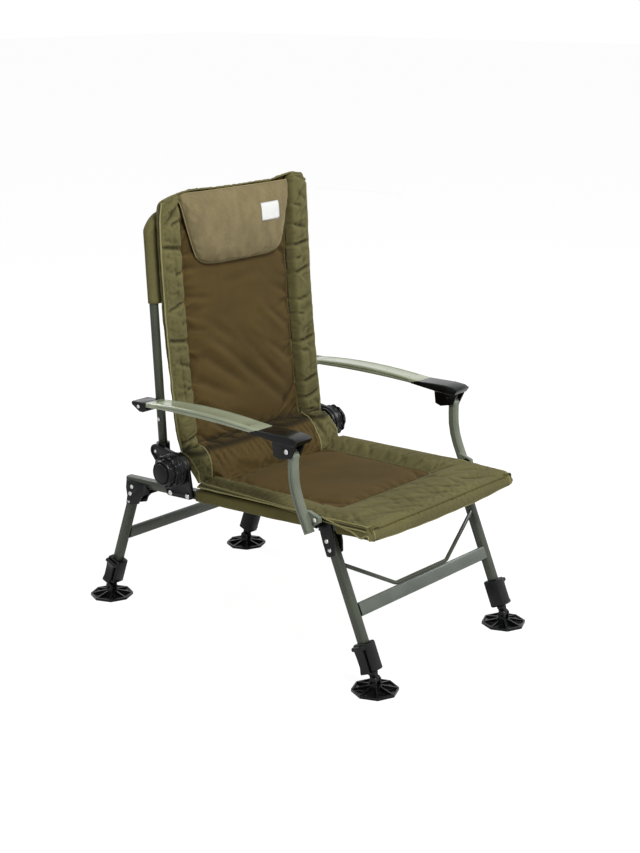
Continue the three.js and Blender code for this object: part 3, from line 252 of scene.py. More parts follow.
class Finish(Nodes):
    """A material under construction: its Principled shader and the nodes that feed it."""

    def __init__(self, name, **constants):
        self.material = bpy.data.materials.new(name)
        self.material.use_nodes = True
        super().__init__(self.material.node_tree)
        self.shader = self.tree.nodes.new("ShaderNodeBsdfPrincipled")
        output = self.tree.nodes.new("ShaderNodeOutputMaterial")
        self.tree.links.new(self.shader.outputs[0], output.inputs[0])
        self.set(**constants)

    def set(self, **inputs):
        for name, value in inputs.items():
            self.feed(self.shader.inputs[name.replace("_", " ")], value)

    def place(self, axis=None):
        """Where the surface lies on the object, in metres, or one axis of that."""
        where = self.node("ShaderNodeTexCoord", output=3)
        if axis is None:
            return where
        return self.node("ShaderNodeSeparateXYZ", inputs=[where], output="XYZ".index(axis))

    def stretched(self, x, y, z):
        """Places with each axis scaled, for streaks and threads."""
        settings = {"operation": "MULTIPLY"}
        return self.node("ShaderNodeVectorMath", settings, [self.place(), (x, y, z)])

    def clouds(self, scale, detail=3.0, roughness=0.55, where=None):
        inputs = {"Vector": where or self.place()}
        inputs |= {"Scale": scale, "Detail": detail, "Roughness": roughness}
        return self.node("ShaderNodeTexNoise", inputs=inputs)

    def mix(self, factor, first, second, blend="MIX"):
        settings = {"data_type": "RGBA", "blend_type": blend}
        return self.node("ShaderNodeMix", settings, {0: factor, 6: first, 7: second}, output=2)

    def relief(self, height, depth, strength):
        """Roughens the surface by a height from 0 to 1 that is depth metres deep."""
        inputs = {"Height": height, "Distance": depth, "Strength": strength}
        self.set(Normal=self.node("ShaderNodeBump", inputs=inputs))

    def crests(self):
        """Above 0.5 on outward folds and edges, below it in valleys."""
        return self.node("ShaderNodeNewGeometry", output=7)


def color(text, level=1.0):
    """A hexadecimal screen colour as linear red, green, blue and alpha, by the sRGB curve."""
    parts = [int(text[i : i + 2], 16) / 255 for i in (0, 2, 4)]
    linear = [p / 12.92 if p <= 0.04045 else ((p + 0.055) / 1.055) ** 2.4 for p in parts]
    return (*[p * level for p in linear], 1.0)


OLIVE = "67623e"
BROWN = "554524"
KHAKI = "7c7153"
THREAD_SPACING = 0.9 * MM
LABEL_RIB_SPACING = 0.8 * MM
# Strengths of painted shade along seams, in clefts and in the valleys of folds
SEAM_PAINTED_SHADE = 0.75
CLEFT_SHADE = 0.82
FOLD_SHADE = 0.8


def weave(finish, along):
    """Plain-woven threads, as a height from 0 to 1, over x and another axis of the object."""
    turns = 2 * math.pi / THREAD_SPACING
    warp = (finish.place("X") * turns).sine()
    weft = (finish.place(along) * turns).sine()
    return warp * weft * 0.25 + 0.5


def cloth_finish(name, shades, along, mask=None, cleft=None):
    """Woven polyester: shades holds one colour, or two where a mask parts a panel from its
    border. Painted shade darkens the seam between the two, the valleys of the cloth's folds
    and a cleft, which is given by its height and its reach."""
    finish = Finish(name, Sheen_Weight=0.1, Sheen_Roughness=0.4, Specular_IOR_Level=0.16)
    finish.set(Sheen_Tint=color("c8c0a0"))
    broad = finish.clouds(7.0, 4.0)
    slub = finish.clouds(900.0, 2.0, where=finish.stretched(1.0, 0.35, 0.35))
    fine = finish.clouds(260.0, 3.0)
    tone = (broad * 0.5 + fine * 0.25 + slub * 0.25).step(0.3, 0.7)
    tinted = [finish.mix(tone, color(s, 0.8), color(s, 1.18)) for s in shades]
    cover = tinted[0]
    if mask is not None:
        share = mask(finish)
        seam = (share * (1 - share) * 4).step(0.02, 0.5)
        # Painted shade: the colour darkened towards 17150c along the seam between panel and border
        cover = finish.mix(seam * SEAM_PAINTED_SHADE, finish.mix(share, *tinted), color("17150c"))
    if cleft is not None:
        cover = shade_near(finish, cover, *cleft)
    # Painted shade: darker towards 57534a in the valleys of folds, where pointiness falls below 0.5
    crest = finish.crests().step(0.44, 0.53)
    valley_shade = finish.mix(crest, color("57534a"), color("ffffff"))
    shaded = finish.mix(FOLD_SHADE, cover, valley_shade, "MULTIPLY")
    finish.set(Base_Color=shaded, Roughness=0.78 + fine * 0.12)
    threads = weave(finish, along) * 0.35 + slub * 0.35 + fine * 0.3
    finish.relief(threads, 0.35 * MM, 0.8)
    return finish.material


def shade_near(finish, cover, height, reach):
    """Darkens a colour close to a height on the object, as in the cleft between two cushions."""
    near = 1 - abs(finish.place("Z") - height).step(0.0, reach)
    return finish.mix(near * CLEFT_SHADE, cover, color("120f08"))


def within(distance, limit, blur):
    """1 where a distance is below a limit, 0 above it, with a short blur between."""
    return 1 - distance.step(limit - blur, limit + blur)


def back_panel(finish):
    """1 between the seams of the back's two side bolsters."""
    return within(abs(finish.place("X")), BACK_PANEL_HALF, 1.5 * MM)


def roll_panel(finish):
    """1 between the roll's two gusset seams, which lean to the sitter's right."""
    run = ROLL_REAR - ROLL_FRONT
    behind = (finish.place("Y") - ROLL_FRONT.y) * run.y
    above = (finish.place("Z") - ROLL_FRONT.z) * run.z
    lean = (1 - (behind + above) / run.length_squared) * ROLL_LEAN
    return within(abs(finish.place("X") + lean), ROLL_GUSSET, 1 * MM)


def seat_panel(finish):
    """1 inside the seat's round-cornered panel, 0 on its border."""
    inner = SEAT_PANEL_HALF - SEAT_PANEL_CORNER
    over_x = (abs(finish.place("X")) - inner).most(0.0)
    over_y = (SEAT_PANEL_FRONT + SEAT_PANEL_CORNER - finish.place("Y")).most(0.0)
    reach = (over_x * over_x + over_y * over_y).root()
    return within(reach, SEAT_PANEL_CORNER, 0.5 * MM)


def plush_finish():
    """Brushed pile with soft streaks where a hand has lain the pile over."""
    finish = Finish("khaki_plush", Roughness=0.95, Sheen_Weight=0.35, Sheen_Roughness=0.35)
    finish.set(Sheen_Tint=color("d8c9a0"), Specular_IOR_Level=0.1)
    streak = finish.clouds(30.0, 6.0, 0.62, finish.stretched(1.3, 1.0, 0.75))
    strand = finish.clouds(1500.0, 2.0, where=finish.stretched(1.0, 1.0, 0.4))
    cross = finish.clouds(420.0, 3.0, where=finish.stretched(0.3, 1.0, 1.0))
    tone = (streak * 0.5 + strand * 0.25 + cross * 0.25).step(0.36, 0.66)
    finish.set(Base_Color=finish.mix(tone, color(KHAKI, 0.84), color(KHAKI, 1.14)))
    finish.relief(streak * 0.3 + strand * 0.45 + cross * 0.25, 0.9 * MM, 0.9)
    return finish.material


def paint_finish(name, shade, roughness, coat=0.0):
    """Powder coat with a fine orange-peel skin and slightly dusty patches."""
    finish = Finish(name, Coat_Weight=coat, Coat_Roughness=0.18, Specular_IOR_Level=0.35)
    peel = finish.clouds(420.0, 2.0)
    patch = finish.clouds(14.0, 4.0)
    scuff = finish.clouds(90.0, 5.0, where=finish.stretched(1.0, 1.0, 0.25)).step(0.66, 0.78)
    tone = finish.mix(patch.step(0.35, 0.7), color(shade, 0.9), color(shade, 1.1))
    finish.set(Base_Color=finish.mix(scuff * 0.16, tone, color("a3a596")))
    finish.set(Roughness=roughness - 0.05 + patch * 0.1 + scuff * 0.15)
    finish.relief(peel, 0.05 * MM, 0.6)
    return finish.material


def nylon_finish():
    """Moulded black nylon: fine spark-eroded grain and patches of a slightly greyer black."""
    finish = Finish("black_nylon", Specular_IOR_Level=0.25)
    grain = finish.clouds(1100.0, 2.0)
    patch = finish.clouds(28.0, 4.0)
    tone = finish.mix(patch.step(0.35, 0.7), color("08080a"), color("111213"))
    finish.set(Base_Color=tone, Roughness=0.12 + grain * 0.1 + patch * 0.1)
    finish.relief(grain, 0.05 * MM, 0.7)
    return finish.material


def steel_finish():
    """Zinc-plated steel with fine turning marks."""
    finish = Finish("zinc_steel", Metallic=1.0)
    marks = finish.clouds(700.0, 3.0, where=finish.stretched(0.2, 1.0, 1.0))
    stain = finish.clouds(45.0, 4.0)
    finish.set(Base_Color=finish.mix(stain.step(0.4, 0.75), color("d9dad8"), color("b4b5b2")))
    finish.set(Roughness=0.22 + marks * 0.12)
    finish.relief(marks, 0.03 * MM, 0.6)
    return finish.material


def label_finish():
    """White satin weave with fine level ribs."""
    finish = Finish("white_label", Roughness=0.55, Sheen_Weight=0.15)
    ribs = (finish.place("Z") * (2 * math.pi / LABEL_RIB_SPACING)).sine() * 0.5 + 0.5
    finish.set(Base_Color=finish.mix(ribs, color("d8d9d6"), color("e0e1de")))
    finish.relief(ribs, 0.1 * MM, 0.4)
    return finish.material


def thread_finish(name, shade):
    finish = Finish(name, Roughness=0.7, Sheen_Weight=0.2)
    twist = finish.clouds(2400.0, 2.0)
    finish.set(Base_Color=finish.mix(twist.step(0.3, 0.7), color(shade, 0.8), color(shade, 1.15)))
    finish.relief(twist, 0.1 * MM, 0.6)
    return finish.material


MATERIALS = {
    "pillow": plush_finish(),
    "nylon": nylon_finish(),
    "steel": steel_finish(),
    "label": label_finish(),
}
for name, shades, along, *panel in (
    ("olive_upright", [OLIVE], "Z"),
    ("olive_level", ["59542f"], "Y"),
    ("back_cover", [OLIVE, BROWN], "Z", back_panel, (BACK_BOTTOM, 22 * MM)),
    ("roll_cover", [OLIVE, BROWN], "Z", roll_panel, (ROLL_REAR.z, 9 * MM)),
    ("seat_cover", [OLIVE, BROWN], "Y", seat_panel),
    ("piping", ["8a855b"], "Z"),
    # A dark cloth for cords that stand for painted shade in grooves and gaps
    ("dark_binding", ["34321f"], "Z"),
    ("pillow_edge", ["918460"], "Z"),
):
    MATERIALS[name] = cloth_finish(name, shades, along, *panel)
for name, shade, *gloss in (
    ("frame_paint", "41463a", 0.28),
    ("bar_paint", "585e56", 0.3),
    ("arm_paint", "969e84", 0.2, 0.5),
    ("post_paint", "6b7162", 0.3, 0.2),
):
    MATERIALS[name] = paint_finish(name, shade, *gloss)
for name, shade in (("olive_thread", "7d7a55"), ("white_thread", "d9dad2")):
    MATERIALS[name] = thread_finish(name, shade)


# Meshes

def add_mesh(name, points, faces, material):
    mesh = bpy.data.meshes.new(name)
    mesh.from_pydata([tuple(p) for p in points], [], faces)
    mesh.validate()
    mesh.materials.append(MATERIALS[material])
    mesh.polygons.foreach_set("use_smooth", [True] * len(mesh.polygons))
    piece = bpy.data.objects.new(name, mesh)
    bpy.context.scene.collection.objects.link(piece)
    return piece


def vectors(mesh, kind="co"):
    """The places or the normals of a mesh's points, one in each row."""
    flat = np.empty(len(mesh.vertices) * 3)
    mesh.vertices.foreach_get(kind, flat)
    return flat.reshape(-1, 3)


def ring_faces(first, second, count):
    """Faces between two rings of as many points, from the numbers of their first points."""
    following = [(k + 1) % count for k in range(count)]
    return [(first + k, first + n, second + n, second + k) for k, n in enumerate(following)]


def spokes(side, up, count):
    """Even directions round a circle, from one side towards up."""
    turns = [2 * math.pi * k / count for k in range(count)]
    return [side * math.cos(t) + up * math.sin(t) for t in turns]


def signed_volume(points, faces):
    total = 0.0
    for face in faces:
        a = points[face[0]]
        for b, c in zip(face[1:-1], face[2:]):
            total += float(np.dot(a, np.cross(points[b], points[c])))
    return total


def smooth_step(low, high, value):
    share = np.clip((value - low) / (high - low), 0, 1)
    return share * share * (3 - 2 * share)


def mix(a, b, share):
    return a + (b - a) * share


def bump(distance, reach):
    """1 at a distance of 0, falling off round it within about its reach."""
    return np.exp(-((distance / reach) ** 2))


def fullness(u, power):
    """From 0 on the seam at -1 and 1 to 1 inside."""
    return np.sqrt(np.maximum(0, 1 - np.abs(u) ** power))


def steps(count, crowding=0.75):
    """Steps from -1 to 1 that close up towards both ends."""
    even = np.linspace(-1, 1, count + 1)
    return mix(even, np.sin(even * math.pi / 2), crowding)


def seamed_steps(count, crowding, seams, near=(0, 0.007, 0.017, 0.03)):
    """Steps from -1 to 1 with more of them beside the seams."""
    extra = [s + sign * d for s in seams for d in near for sign in (-1, 1)]
    even = [e for e in steps(count, crowding) if all(abs(e - x) > 0.009 for x in extra)]
    return np.unique(np.round(even + extra, 5))


class Pad:
    """A closed padded form: a face and a back skin over one outline, sewn together round it."""

    def __init__(self, name, across, along, place, material, rear_material=None):
        self.columns, self.rows = len(across), len(along)
        self.key = {}
        table = []
        for side in (1, -1):
            for i, u in enumerate(across):
                for j, v in enumerate(along):
                    seam = i in (0, self.columns - 1) or j in (0, self.rows - 1)
                    if seam and side < 0:
                        self.key[side, i, j] = self.key[1, i, j]
                        continue
                    self.key[side, i, j] = len(table)
                    table.append((u, v, 0 if seam else side))
        self.u, self.v, self.side = np.array(table, float).T
        faces = []
        for i in range(self.columns - 1):
            for j in range(self.rows - 1):
                corners = [(i, j), (i + 1, j), (i + 1, j + 1), (i, j + 1)]
                faces.append([self.key[(1, *c)] for c in corners])
                faces.append([self.key[(-1, *c)] for c in reversed(corners)])
        points = place(self.u, self.v, self.side)
        if signed_volume(points, faces) < 0:
            faces = [f[::-1] for f in faces]
        self.piece = add_mesh(name, points, faces, material)
        if rear_material:
            self.piece.data.materials.append(MATERIALS[rear_material])
            for polygon in list(self.piece.data.polygons)[1::2]:
                polygon.material_index = 1

    def points(self):
        return vectors(self.piece.data)

    def move(self, points):
        self.piece.data.vertices.foreach_set("co", points.astype(np.float32).ravel())
        self.piece.data.update()

    def normals(self):
        return vectors(self.piece.data, "normal")

    def rim(self, across, along):
        """1 on the outer seam, 0 inside; across and along are where that starts and ends."""
        return smooth_step(*across, np.abs(self.u)) + smooth_step(*along, np.abs(self.v))

    def column(self, i):
        """The points of one column, from the bottom or rear row to the last."""
        points = self.points()
        return [points[self.key[1, i % self.columns, j]] for j in range(self.rows)]

    def row(self, j):
        points = self.points()
        return [points[self.key[1, i, j % self.rows]] for i in range(self.columns)]

    def outline(self):
        """The seam round the pad, as a closed line."""
        right, left = self.column(-1), self.column(0)
        return self.row(0)[:-1] + right[:-1] + self.row(-1)[::-1][:-1] + left[::-1][:-1]

    def crease(self, lines, axes, scale=1.0):
        """Presses creases in, or raises folds where the depth is negative. A line is its two
        ends on two axes, its depth and its half width, in millimetres."""
        points = self.points()
        flat = points[:, axes]
        shift = np.zeros(len(points))
        for ax, ay, bx, by, depth, width in lines:
            start, end = np.array([ax, ay]) * MM, np.array([bx, by]) * MM
            run = end - start
            share = np.clip((flat - start) @ run / (run @ run), 0, 1)
            off = np.linalg.norm(flat - start - share[:, None] * run, axis=1)
            taper = np.sin(math.pi * np.clip(share, 0.04, 0.96)) ** 0.6
            shift += depth * MM * taper * bump(off, width * MM)
        shift *= scale * (self.side > 0)
        self.move(points - self.normals() * shift[:, None])

    def roughen(self, depth, size, stretch=(1, 1, 1), held=None):
        """Small uneven folds over the cloth."""
        points = self.points()
        scale = np.array(stretch) / size
        heights = np.array([noise.noise(Vector(p * scale)) for p in points])
        if held is not None:
            heights *= 1 - held
        self.move(points + self.normals() * (heights * depth)[:, None])

    def smooth(self):
        modifier = self.piece.modifiers.new("subdivision", "SUBSURF")
        modifier.levels = modifier.render_levels = 1


# How far a free point rises when the cloth isn't blown up, and how firmly seams are held
FIRM = 0.9
SEAM_HOLD = 4 * MM


def billow(jobs, frames=20, pressure=4.0):
    """Blows up each pad's cloth between the points that are held. A job is the pad, how firmly
    each point is held from 0 to 1, how far a point may move, and how much longer the cloth is
    cut than the form."""
    scene = bpy.context.scene
    for pad, held, reach, slack in jobs:
        group = pad.piece.vertex_groups.new(name="held")
        for weight in np.unique(np.round(held, 2)):
            if weight > 0:
                members = np.nonzero(np.round(held, 2) == weight)[0]
                group.add([int(m) for m in members], float(weight), "REPLACE")
        cloth = pad.piece.modifiers.new("cloth", "CLOTH")
        settings = cloth.settings
        settings.quality = 5
        settings.mass = 0.3
        settings.tension_stiffness = settings.compression_stiffness = 20
        settings.shear_stiffness = 6
        settings.bending_stiffness = 0.4
        settings.vertex_group_mass = "held"
        settings.use_pressure = True
        settings.uniform_pressure_force = pressure
        settings.shrink_min = -slack
        settings.effector_weights.gravity = 0
        cloth.collision_settings.use_collision = False
    for step in range(1, frames + 1):
        scene.frame_set(step)
    graph = bpy.context.evaluated_depsgraph_get()
    blown = [vectors(pad.piece.evaluated_get(graph).data) for pad, *_ in jobs]
    for (pad, _, reach, _), end in zip(jobs, blown):
        start = pad.points()
        shift = end - start
        length = np.linalg.norm(shift, axis=1)
        kept = reach * np.tanh(length / reach) / np.maximum(length, 1e-9)
        pad.piece.modifiers.clear()
        pad.piece.vertex_groups.clear()
        pad.move(start + shift * kept[:, None])
    scene.frame_set(1)


def tube_along(name, line, radius, material, sides=8, closed=False, waver=0.0):
    """A round cord along a line of points, uneven where it wavers."""
    line = [Vector(p) for p in line]
    count = len(line)
    rings = []
    side = None
    for i, point in enumerate(line):
        before = line[i - 1] if closed or i else line[0]
        after = line[(i + 1) % count] if closed or i + 1 < count else line[-1]
        run = (after - before).normalized()
        if side is None:
            side = run.orthogonal().normalized()
        side = (side - run * side.dot(run)).normalized()
        size = radius * (1 + waver * noise.noise(point / WAVER_SPACING))
        rings += [point + spoke * size for spoke in spokes(side, run.cross(side), sides)]
    faces = []
    for i in range(count if closed else count - 1):
        faces += ring_faces(i * sides, (i + 1) % count * sides, sides)
    if not closed:
        faces += [tuple(range(sides))[::-1], tuple((count - 1) * sides + k for k in range(sides))]
    return add_mesh(name, rings, faces, material)


def resample(line, spacing):
    """Points at an even spacing along a line."""
    points = np.array([tuple(p) for p in line])
    lengths = np.linalg.norm(np.diff(points, axis=0), axis=1)
    along = np.concatenate([[0], np.cumsum(lengths)])
    places = np.arange(0, along[-1], spacing)
    return np.stack([np.interp(places, along, points[:, k]) for k in range(3)], axis=1)


def stitches(name, lines, material="olive_thread"):
    """Rows of single stitches, each a short thread that dips into the cloth at both ends."""
    points, faces = [], []
    for line, normal in lines:
        places = resample(line, STITCH_SPACING)
        up = Vector(normal).normalized()
        for a, b in zip(places[:-1], places[1:]):
            run = Vector(b - a).normalized()
            around = spokes(run.cross(up).normalized(), up, 4)
            start = Vector(a) + up * STITCH_LIFT
            middle, end = start + run * STITCH_LENGTH / 2, start + run * STITCH_LENGTH
            first = len(points)
            dip = up * STITCH_RADIUS
            for centre, size in ((start - dip, 0.5), (middle, 1.0), (end - dip, 0.5)):
                points += [centre + spoke * STITCH_RADIUS * size for spoke in around]
            faces += ring_faces(first, first + 4, 4) + ring_faces(first + 4, first + 8, 4)
            faces += [tuple(first + k for k in (3, 2, 1, 0)), tuple(first + 8 + k for k in range(4))]
    return add_mesh(name, points, faces, material)


def finish_piece(piece, body, slot, *replaced):
    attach(piece, body)
    if replaced:
        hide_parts(*replaced)


# Rails and sling

RAIL_LOW, RAIL_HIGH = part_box("rail_left")
RAIL_SLOPE = (RAIL_LOW.z + RAIL_HEIGHT - RAIL_HIGH.z) / (RAIL_HIGH.y - RAIL_LOW.y)
FRONT_TUBE_Y = sum(c.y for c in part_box("front_cross_tube")) / 2
REAR_TUBE_Y = sum(c.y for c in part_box("rear_cross_tube")) / 2


def rail_top(y):
    return RAIL_HIGH.z + RAIL_SLOPE * (y - RAIL_LOW.y)


def rail_middle(y):
    return rail_top(y) - RAIL_HEIGHT / 2


def sling_top(x, y):
    """The height of the sagging sheet that the seat cushion lies on."""
    half = RAIL_X - RAIL_WIDTH / 2 - 16 * MM
    across = np.minimum(1, np.abs(x) / half)
    along = (2 * y - FRONT_TUBE_Y - REAR_TUBE_Y) / (REAR_TUBE_Y - FRONT_TUBE_Y)
    sag = SEAT_SAG * (1 - across**2) * np.maximum(0, 1 - along**2)
    return rail_top(y) + 2 * MM - sag


# Seat cushion

FLAT_RUN = SEAT_REAR_Y - SEAT_BEND_Y
BEND_RUN = SEAT_BEND_RADIUS * math.pi / 2


def seat_top(x, y):
    share = np.clip((y - SEAT_BEND_Y) / FLAT_RUN, 0, 1)
    crest = mix(SEAT_CREST_FRONT, SEAT_CREST_REAR, share)
    inner = 1 - smooth_step(SEAT_PANEL_HALF - 3 * MM, SEAT_PANEL_HALF + 34 * MM, np.abs(x))
    behind = smooth_step(SEAT_PANEL_FRONT - 62 * MM, SEAT_PANEL_FRONT + 6 * MM, y)
    edge = SEAT_EDGE_DROP * smooth_step(0.8, 1.0, np.abs(x) / SEAT_HALF_FRONT)
    return rail_top(y) + crest - SEAT_DIP * inner * behind - edge


def seat_place(u, v, side):
    """From the rear edge at v = 1 forward, round the front bend and down to the hem at v = -1."""
    share = (1 - v) / 2
    half = mix(SEAT_HALF_REAR, SEAT_HALF_FRONT, smooth_step(0, 1, share))
    x = u * half
    ripple = 0.35 * MM * (np.sin(x * 41) + np.sin(x * 97 + 1.3))
    hem = mix(SEAT_HEM_MIDDLE, SEAT_HEM_CORNER, np.abs(u) ** 3) + ripple
    bend_top = seat_top(x, np.full_like(x, SEAT_BEND_Y))
    drop = bend_top - SEAT_BEND_RADIUS - hem
    s = share * (FLAT_RUN + BEND_RUN + drop)
    turn = np.clip((s - FLAT_RUN) / SEAT_BEND_RADIUS, 0, math.pi / 2)
    fall = np.maximum(0, s - FLAT_RUN - BEND_RUN)
    flat_y = SEAT_REAR_Y - np.minimum(s, FLAT_RUN)
    top = seat_top(x, flat_y)
    y = flat_y - SEAT_BEND_RADIUS * np.sin(turn)
    z = top - SEAT_BEND_RADIUS * (1 - np.cos(turn)) - fall
    thick = np.where(s < FLAT_RUN, top - sling_top(x, flat_y) - 1 * MM, SEAT_FLAP_THICKNESS)
    blend = smooth_step(FLAT_RUN - 30 * MM, FLAT_RUN, s)
    thick = mix(thick, SEAT_FLAP_THICKNESS, blend)
    undercut = SEAT_UNDERCUT * smooth_step(0.9, 0.955, np.abs(u)) * (1 - blend)
    forward = smooth_step(250 * MM, 375 * MM, -flat_y)
    skirt = SEAT_SKIRT * smooth_step(0.93, 0.985, np.abs(u)) * forward
    under_y = y + thick * np.sin(turn)
    under_z = z - thick * np.cos(turn) + undercut - skirt * (1 - np.sin(turn))
    full = fullness(u, 34) * fullness(v, 40)
    seam_y, seam_z = mix(under_y, y, 0.35), mix(under_z, z, 0.2)
    target_y = np.where(side > 0, y, under_y)
    target_z = np.where(side > 0, z, under_z)
    share_out = np.where(side == 0, 0, full)
    return np.stack([x, mix(seam_y, target_y, share_out), mix(seam_z, target_z, share_out)], axis=1)


SEAT_ACROSS = seamed_steps(92, 0.75, (-0.665, 0.665))
SEAT_ALONG = seamed_steps(100, 0.4, (-0.256,))
seat = Pad("seat_cushion", SEAT_ACROSS, SEAT_ALONG, seat_place, "seat_cover")


def panel_distance(x, y):
    """How far a point lies outside the seat panel's outline; negative inside."""
    inner = SEAT_PANEL_HALF - SEAT_PANEL_CORNER
    over_x = np.abs(x) - inner
    over_y = SEAT_PANEL_FRONT + SEAT_PANEL_CORNER - y
    outside = np.hypot(np.maximum(over_x, 0), np.maximum(over_y, 0))
    return outside + np.minimum(np.maximum(over_x, over_y), 0) - SEAT_PANEL_CORNER


def seat_held():
    points = seat.points()
    outline = bump(panel_distance(points[:, 0], points[:, 1]), 5 * MM)
    flap = smooth_step(0.6, 0.98, -seat.v) * FIRM
    rim = seat.rim((0.955, 0.985), (0.97, 0.995))
    under = seat.side < 1
    return np.clip(np.maximum(np.maximum(outline * FIRM, flap), rim) + under, 0, 1)


# Back cushion

def back_edge(z):
    share = (z - BACK_BOTTOM) / (BACK_HEAD - BACK_BOTTOM)
    return mix(BACK_FOOT_Y, BACK_HEAD_Y, share) + BACK_BOW * np.sin(math.pi * np.clip(share, 0, 1))


def back_front(x, z):
    reach = np.abs(x)
    wall = 1 - smooth_step(BACK_PANEL_HALF, BACK_PANEL_HALF + 8 * MM, reach)
    across = np.clip((reach - BACK_PANEL_HALF) / (BACK_HALF - BACK_PANEL_HALF), 0, 1)
    crest = BOLSTER_CREST * np.sin(math.pi * across) ** 0.6
    crown = BACK_PANEL_CROWN * (1 - np.minimum(1, reach / BACK_PANEL_HALF) ** 2)
    seam = BACK_SEAM_DEPTH * bump(reach - BACK_PANEL_HALF, BACK_SEAM_REACH)
    return back_edge(z) + BACK_PANEL_DEPTH * wall - crest - crown + seam


def tube_line(z):
    """The depth of the frame tubes' middle behind the cushion."""
    return ARM_PIVOT_Y + math.tan(BACK_LEAN) * (z - ARM_PIVOT_Z)


def back_rear(z):
    seat_line = tube_line(z) - BACK_TUBE_RADIUS - CLOTH - 3 * CLOTH_GAP
    loose = np.minimum(back_edge(z) + BACK_THICKNESS, seat_line)
    return mix(loose, seat_line, smooth_step(HOOD_BOTTOM - 180 * MM, HOOD_BOTTOM, z))


def back_place(u, v, side):
    x = u * BACK_HALF * (1 - 0.03 * np.abs(v) ** 12)
    outline = np.array(BACK_OUTLINE) * MM
    top = np.interp(x, outline[:, 0], outline[:, 1]) - BACK_TOP_DROP
    z = mix(BACK_BOTTOM, top, (v + 1) / 2)
    front, rear = back_front(x, z), back_rear(z)
    seam = mix(np.minimum(front, back_edge(z)), rear, 0.12)
    full = fullness(u, 26) * fullness(v, np.where(v < 0, 30, 40))
    target = np.where(side > 0, front, rear)
    return np.stack([x, np.where(side == 0, seam, mix(seam, target, full)), z], axis=1)


BACK_SEAM = BACK_PANEL_HALF / BACK_HALF
BACK_ACROSS = seamed_steps(92, 0.6, (-BACK_SEAM, BACK_SEAM))
BACK_ALONG = steps(136, 0.2)
back = Pad("back_cushion_cover", BACK_ACROSS, BACK_ALONG, back_place, "back_cover", "olive_upright")

# Pinched folds of the side bolsters: height, depth and reach from the inner seam, as a share
RIGHT_PINCHES = [
    (908, 6, 0.6), (843, 9, 1.0), (797, 5, 0.5), (731, 8, 0.9), (686, 5, 0.4), (641, 9, 1.0),
    (585, 6, 0.6), (536, 6, 0.4), (488, 6, 0.6), (432, 9, 0.9),
]
LEFT_PINCHES = [
    (905, 5, 0.5), (857, 7, 0.7), (806, 9, 0.9), (773, 5, 0.4), (740, 8, 0.8), (678, 6, 0.6),
    (645, 5, 0.4), (577, 8, 0.9), (558, 5, 0.5), (481, 7, 0.8), (441, 8, 0.9), (414, 5, 0.5),
]
DEEPEST_PINCH = 9


def pinch_weight(points):
    """How close each point lies to one of the bolsters' folds, from 0 to 1."""
    x, z = points[:, 0], points[:, 2]
    outward = np.abs(x) - BACK_PANEL_HALF
    across = outward / (BACK_HALF - BACK_PANEL_HALF)
    weight = np.zeros(len(points))
    for sign, pinches in ((-1, RIGHT_PINCHES), (1, LEFT_PINCHES)):
        on_side = (x * sign > BACK_PANEL_HALF).astype(float)
        for height, depth, reach in pinches:
            slope = 0.3 * math.sin(height * 1.7)
            width = (1.6 + depth * 0.3) * MM
            line = height * MM + slope * outward
            fade = 1 - smooth_step(reach * 0.75, reach * 1.1 + 0.05, across)
            fold = on_side * fade * depth / DEEPEST_PINCH * bump(z - line, width)
            weight = np.maximum(weight, fold)
    return weight


def back_held():
    points = back.points()
    front = back.side > 0
    seam = bump(np.abs(points[:, 0]) - BACK_PANEL_HALF, SEAM_HOLD) * front
    pinch = pinch_weight(points) * front * FIRM
    rim = back.rim((0.975, 0.995), (0.97, 0.995))
    return np.clip(np.maximum(np.maximum(seam, pinch), rim) + (back.side < 0) * FIRM, 0, 1)


# Head pillow

def pillow_place(u, v, side):
    height = (v + 1) / 2
    half = mix(PILLOW_HALF_LOW, PILLOW_HALF_HIGH, height)
    lift = (1 - height) ** 3 * PILLOW_CORNER_LIFT * np.abs(u) ** 8
    x = u * half
    z = mix(PILLOW_BOTTOM, PILLOW_TOP, height) + lift
    rear = back_front(x, z) - PILLOW_SINK
    full = fullness(u, 4) * fullness(v, 4)
    seam = rear - PILLOW_THICKNESS * 0.12
    front = seam - PILLOW_THICKNESS * 0.7 * full
    target = np.where(side > 0, front, mix(seam, rear, full))
    return np.stack([x, np.where(side == 0, seam, target), z], axis=1)


pillow = Pad("head_pillow_cover", steps(56), steps(34), pillow_place, "pillow")


def pillow_held():
    rim = pillow.rim((0.97, 0.995), (0.96, 0.995))
    return np.clip(rim + (pillow.side < 0) * 0.95, 0, 1)


# Lumbar roll

ROLL_RUN = ROLL_REAR - ROLL_FRONT
ROLL_OUT = Vector((0, -ROLL_RUN.z, ROLL_RUN.y)).normalized()


def roll_lean(u, share):
    """How far the cover is pulled to the sitter's right towards the roll's front edge."""
    seam = ROLL_GUSSET / ROLL_HALF
    at_seam = (1 - share) * ROLL_LEAN
    at_end = (1 - share) ** 3 * ROLL_END_LEAN
    return mix(at_seam, at_end, smooth_step(seam, 1.0, np.abs(u)))


def roll_place(u, v, side):
    share = (v + 1) / 2
    full = fullness(u, 30) * fullness(v, 2.0)
    x = u * ROLL_HALF - roll_lean(u, share)
    taper = smooth_step(ROLL_GUSSET - 10 * MM, ROLL_HALF, np.abs(x))
    lift = np.where(side > 0, ROLL_BULGE * (1 - 0.3 * taper), -ROLL_UNDER) * full * np.abs(side)
    front_y = ROLL_FRONT.y + ROLL_END_TAPER * taper
    front_z = seat_top(x, np.full_like(x, ROLL_FRONT.y)) - ROLL_SINK
    rear_y = back_front(x, np.full_like(x, ROLL_REAR.z)) + ROLL_TUCK
    y = mix(front_y, rear_y, share) + ROLL_OUT.y * lift
    z = mix(front_z, ROLL_REAR.z, share) + ROLL_OUT.z * lift
    return np.stack([x, y, z], axis=1)


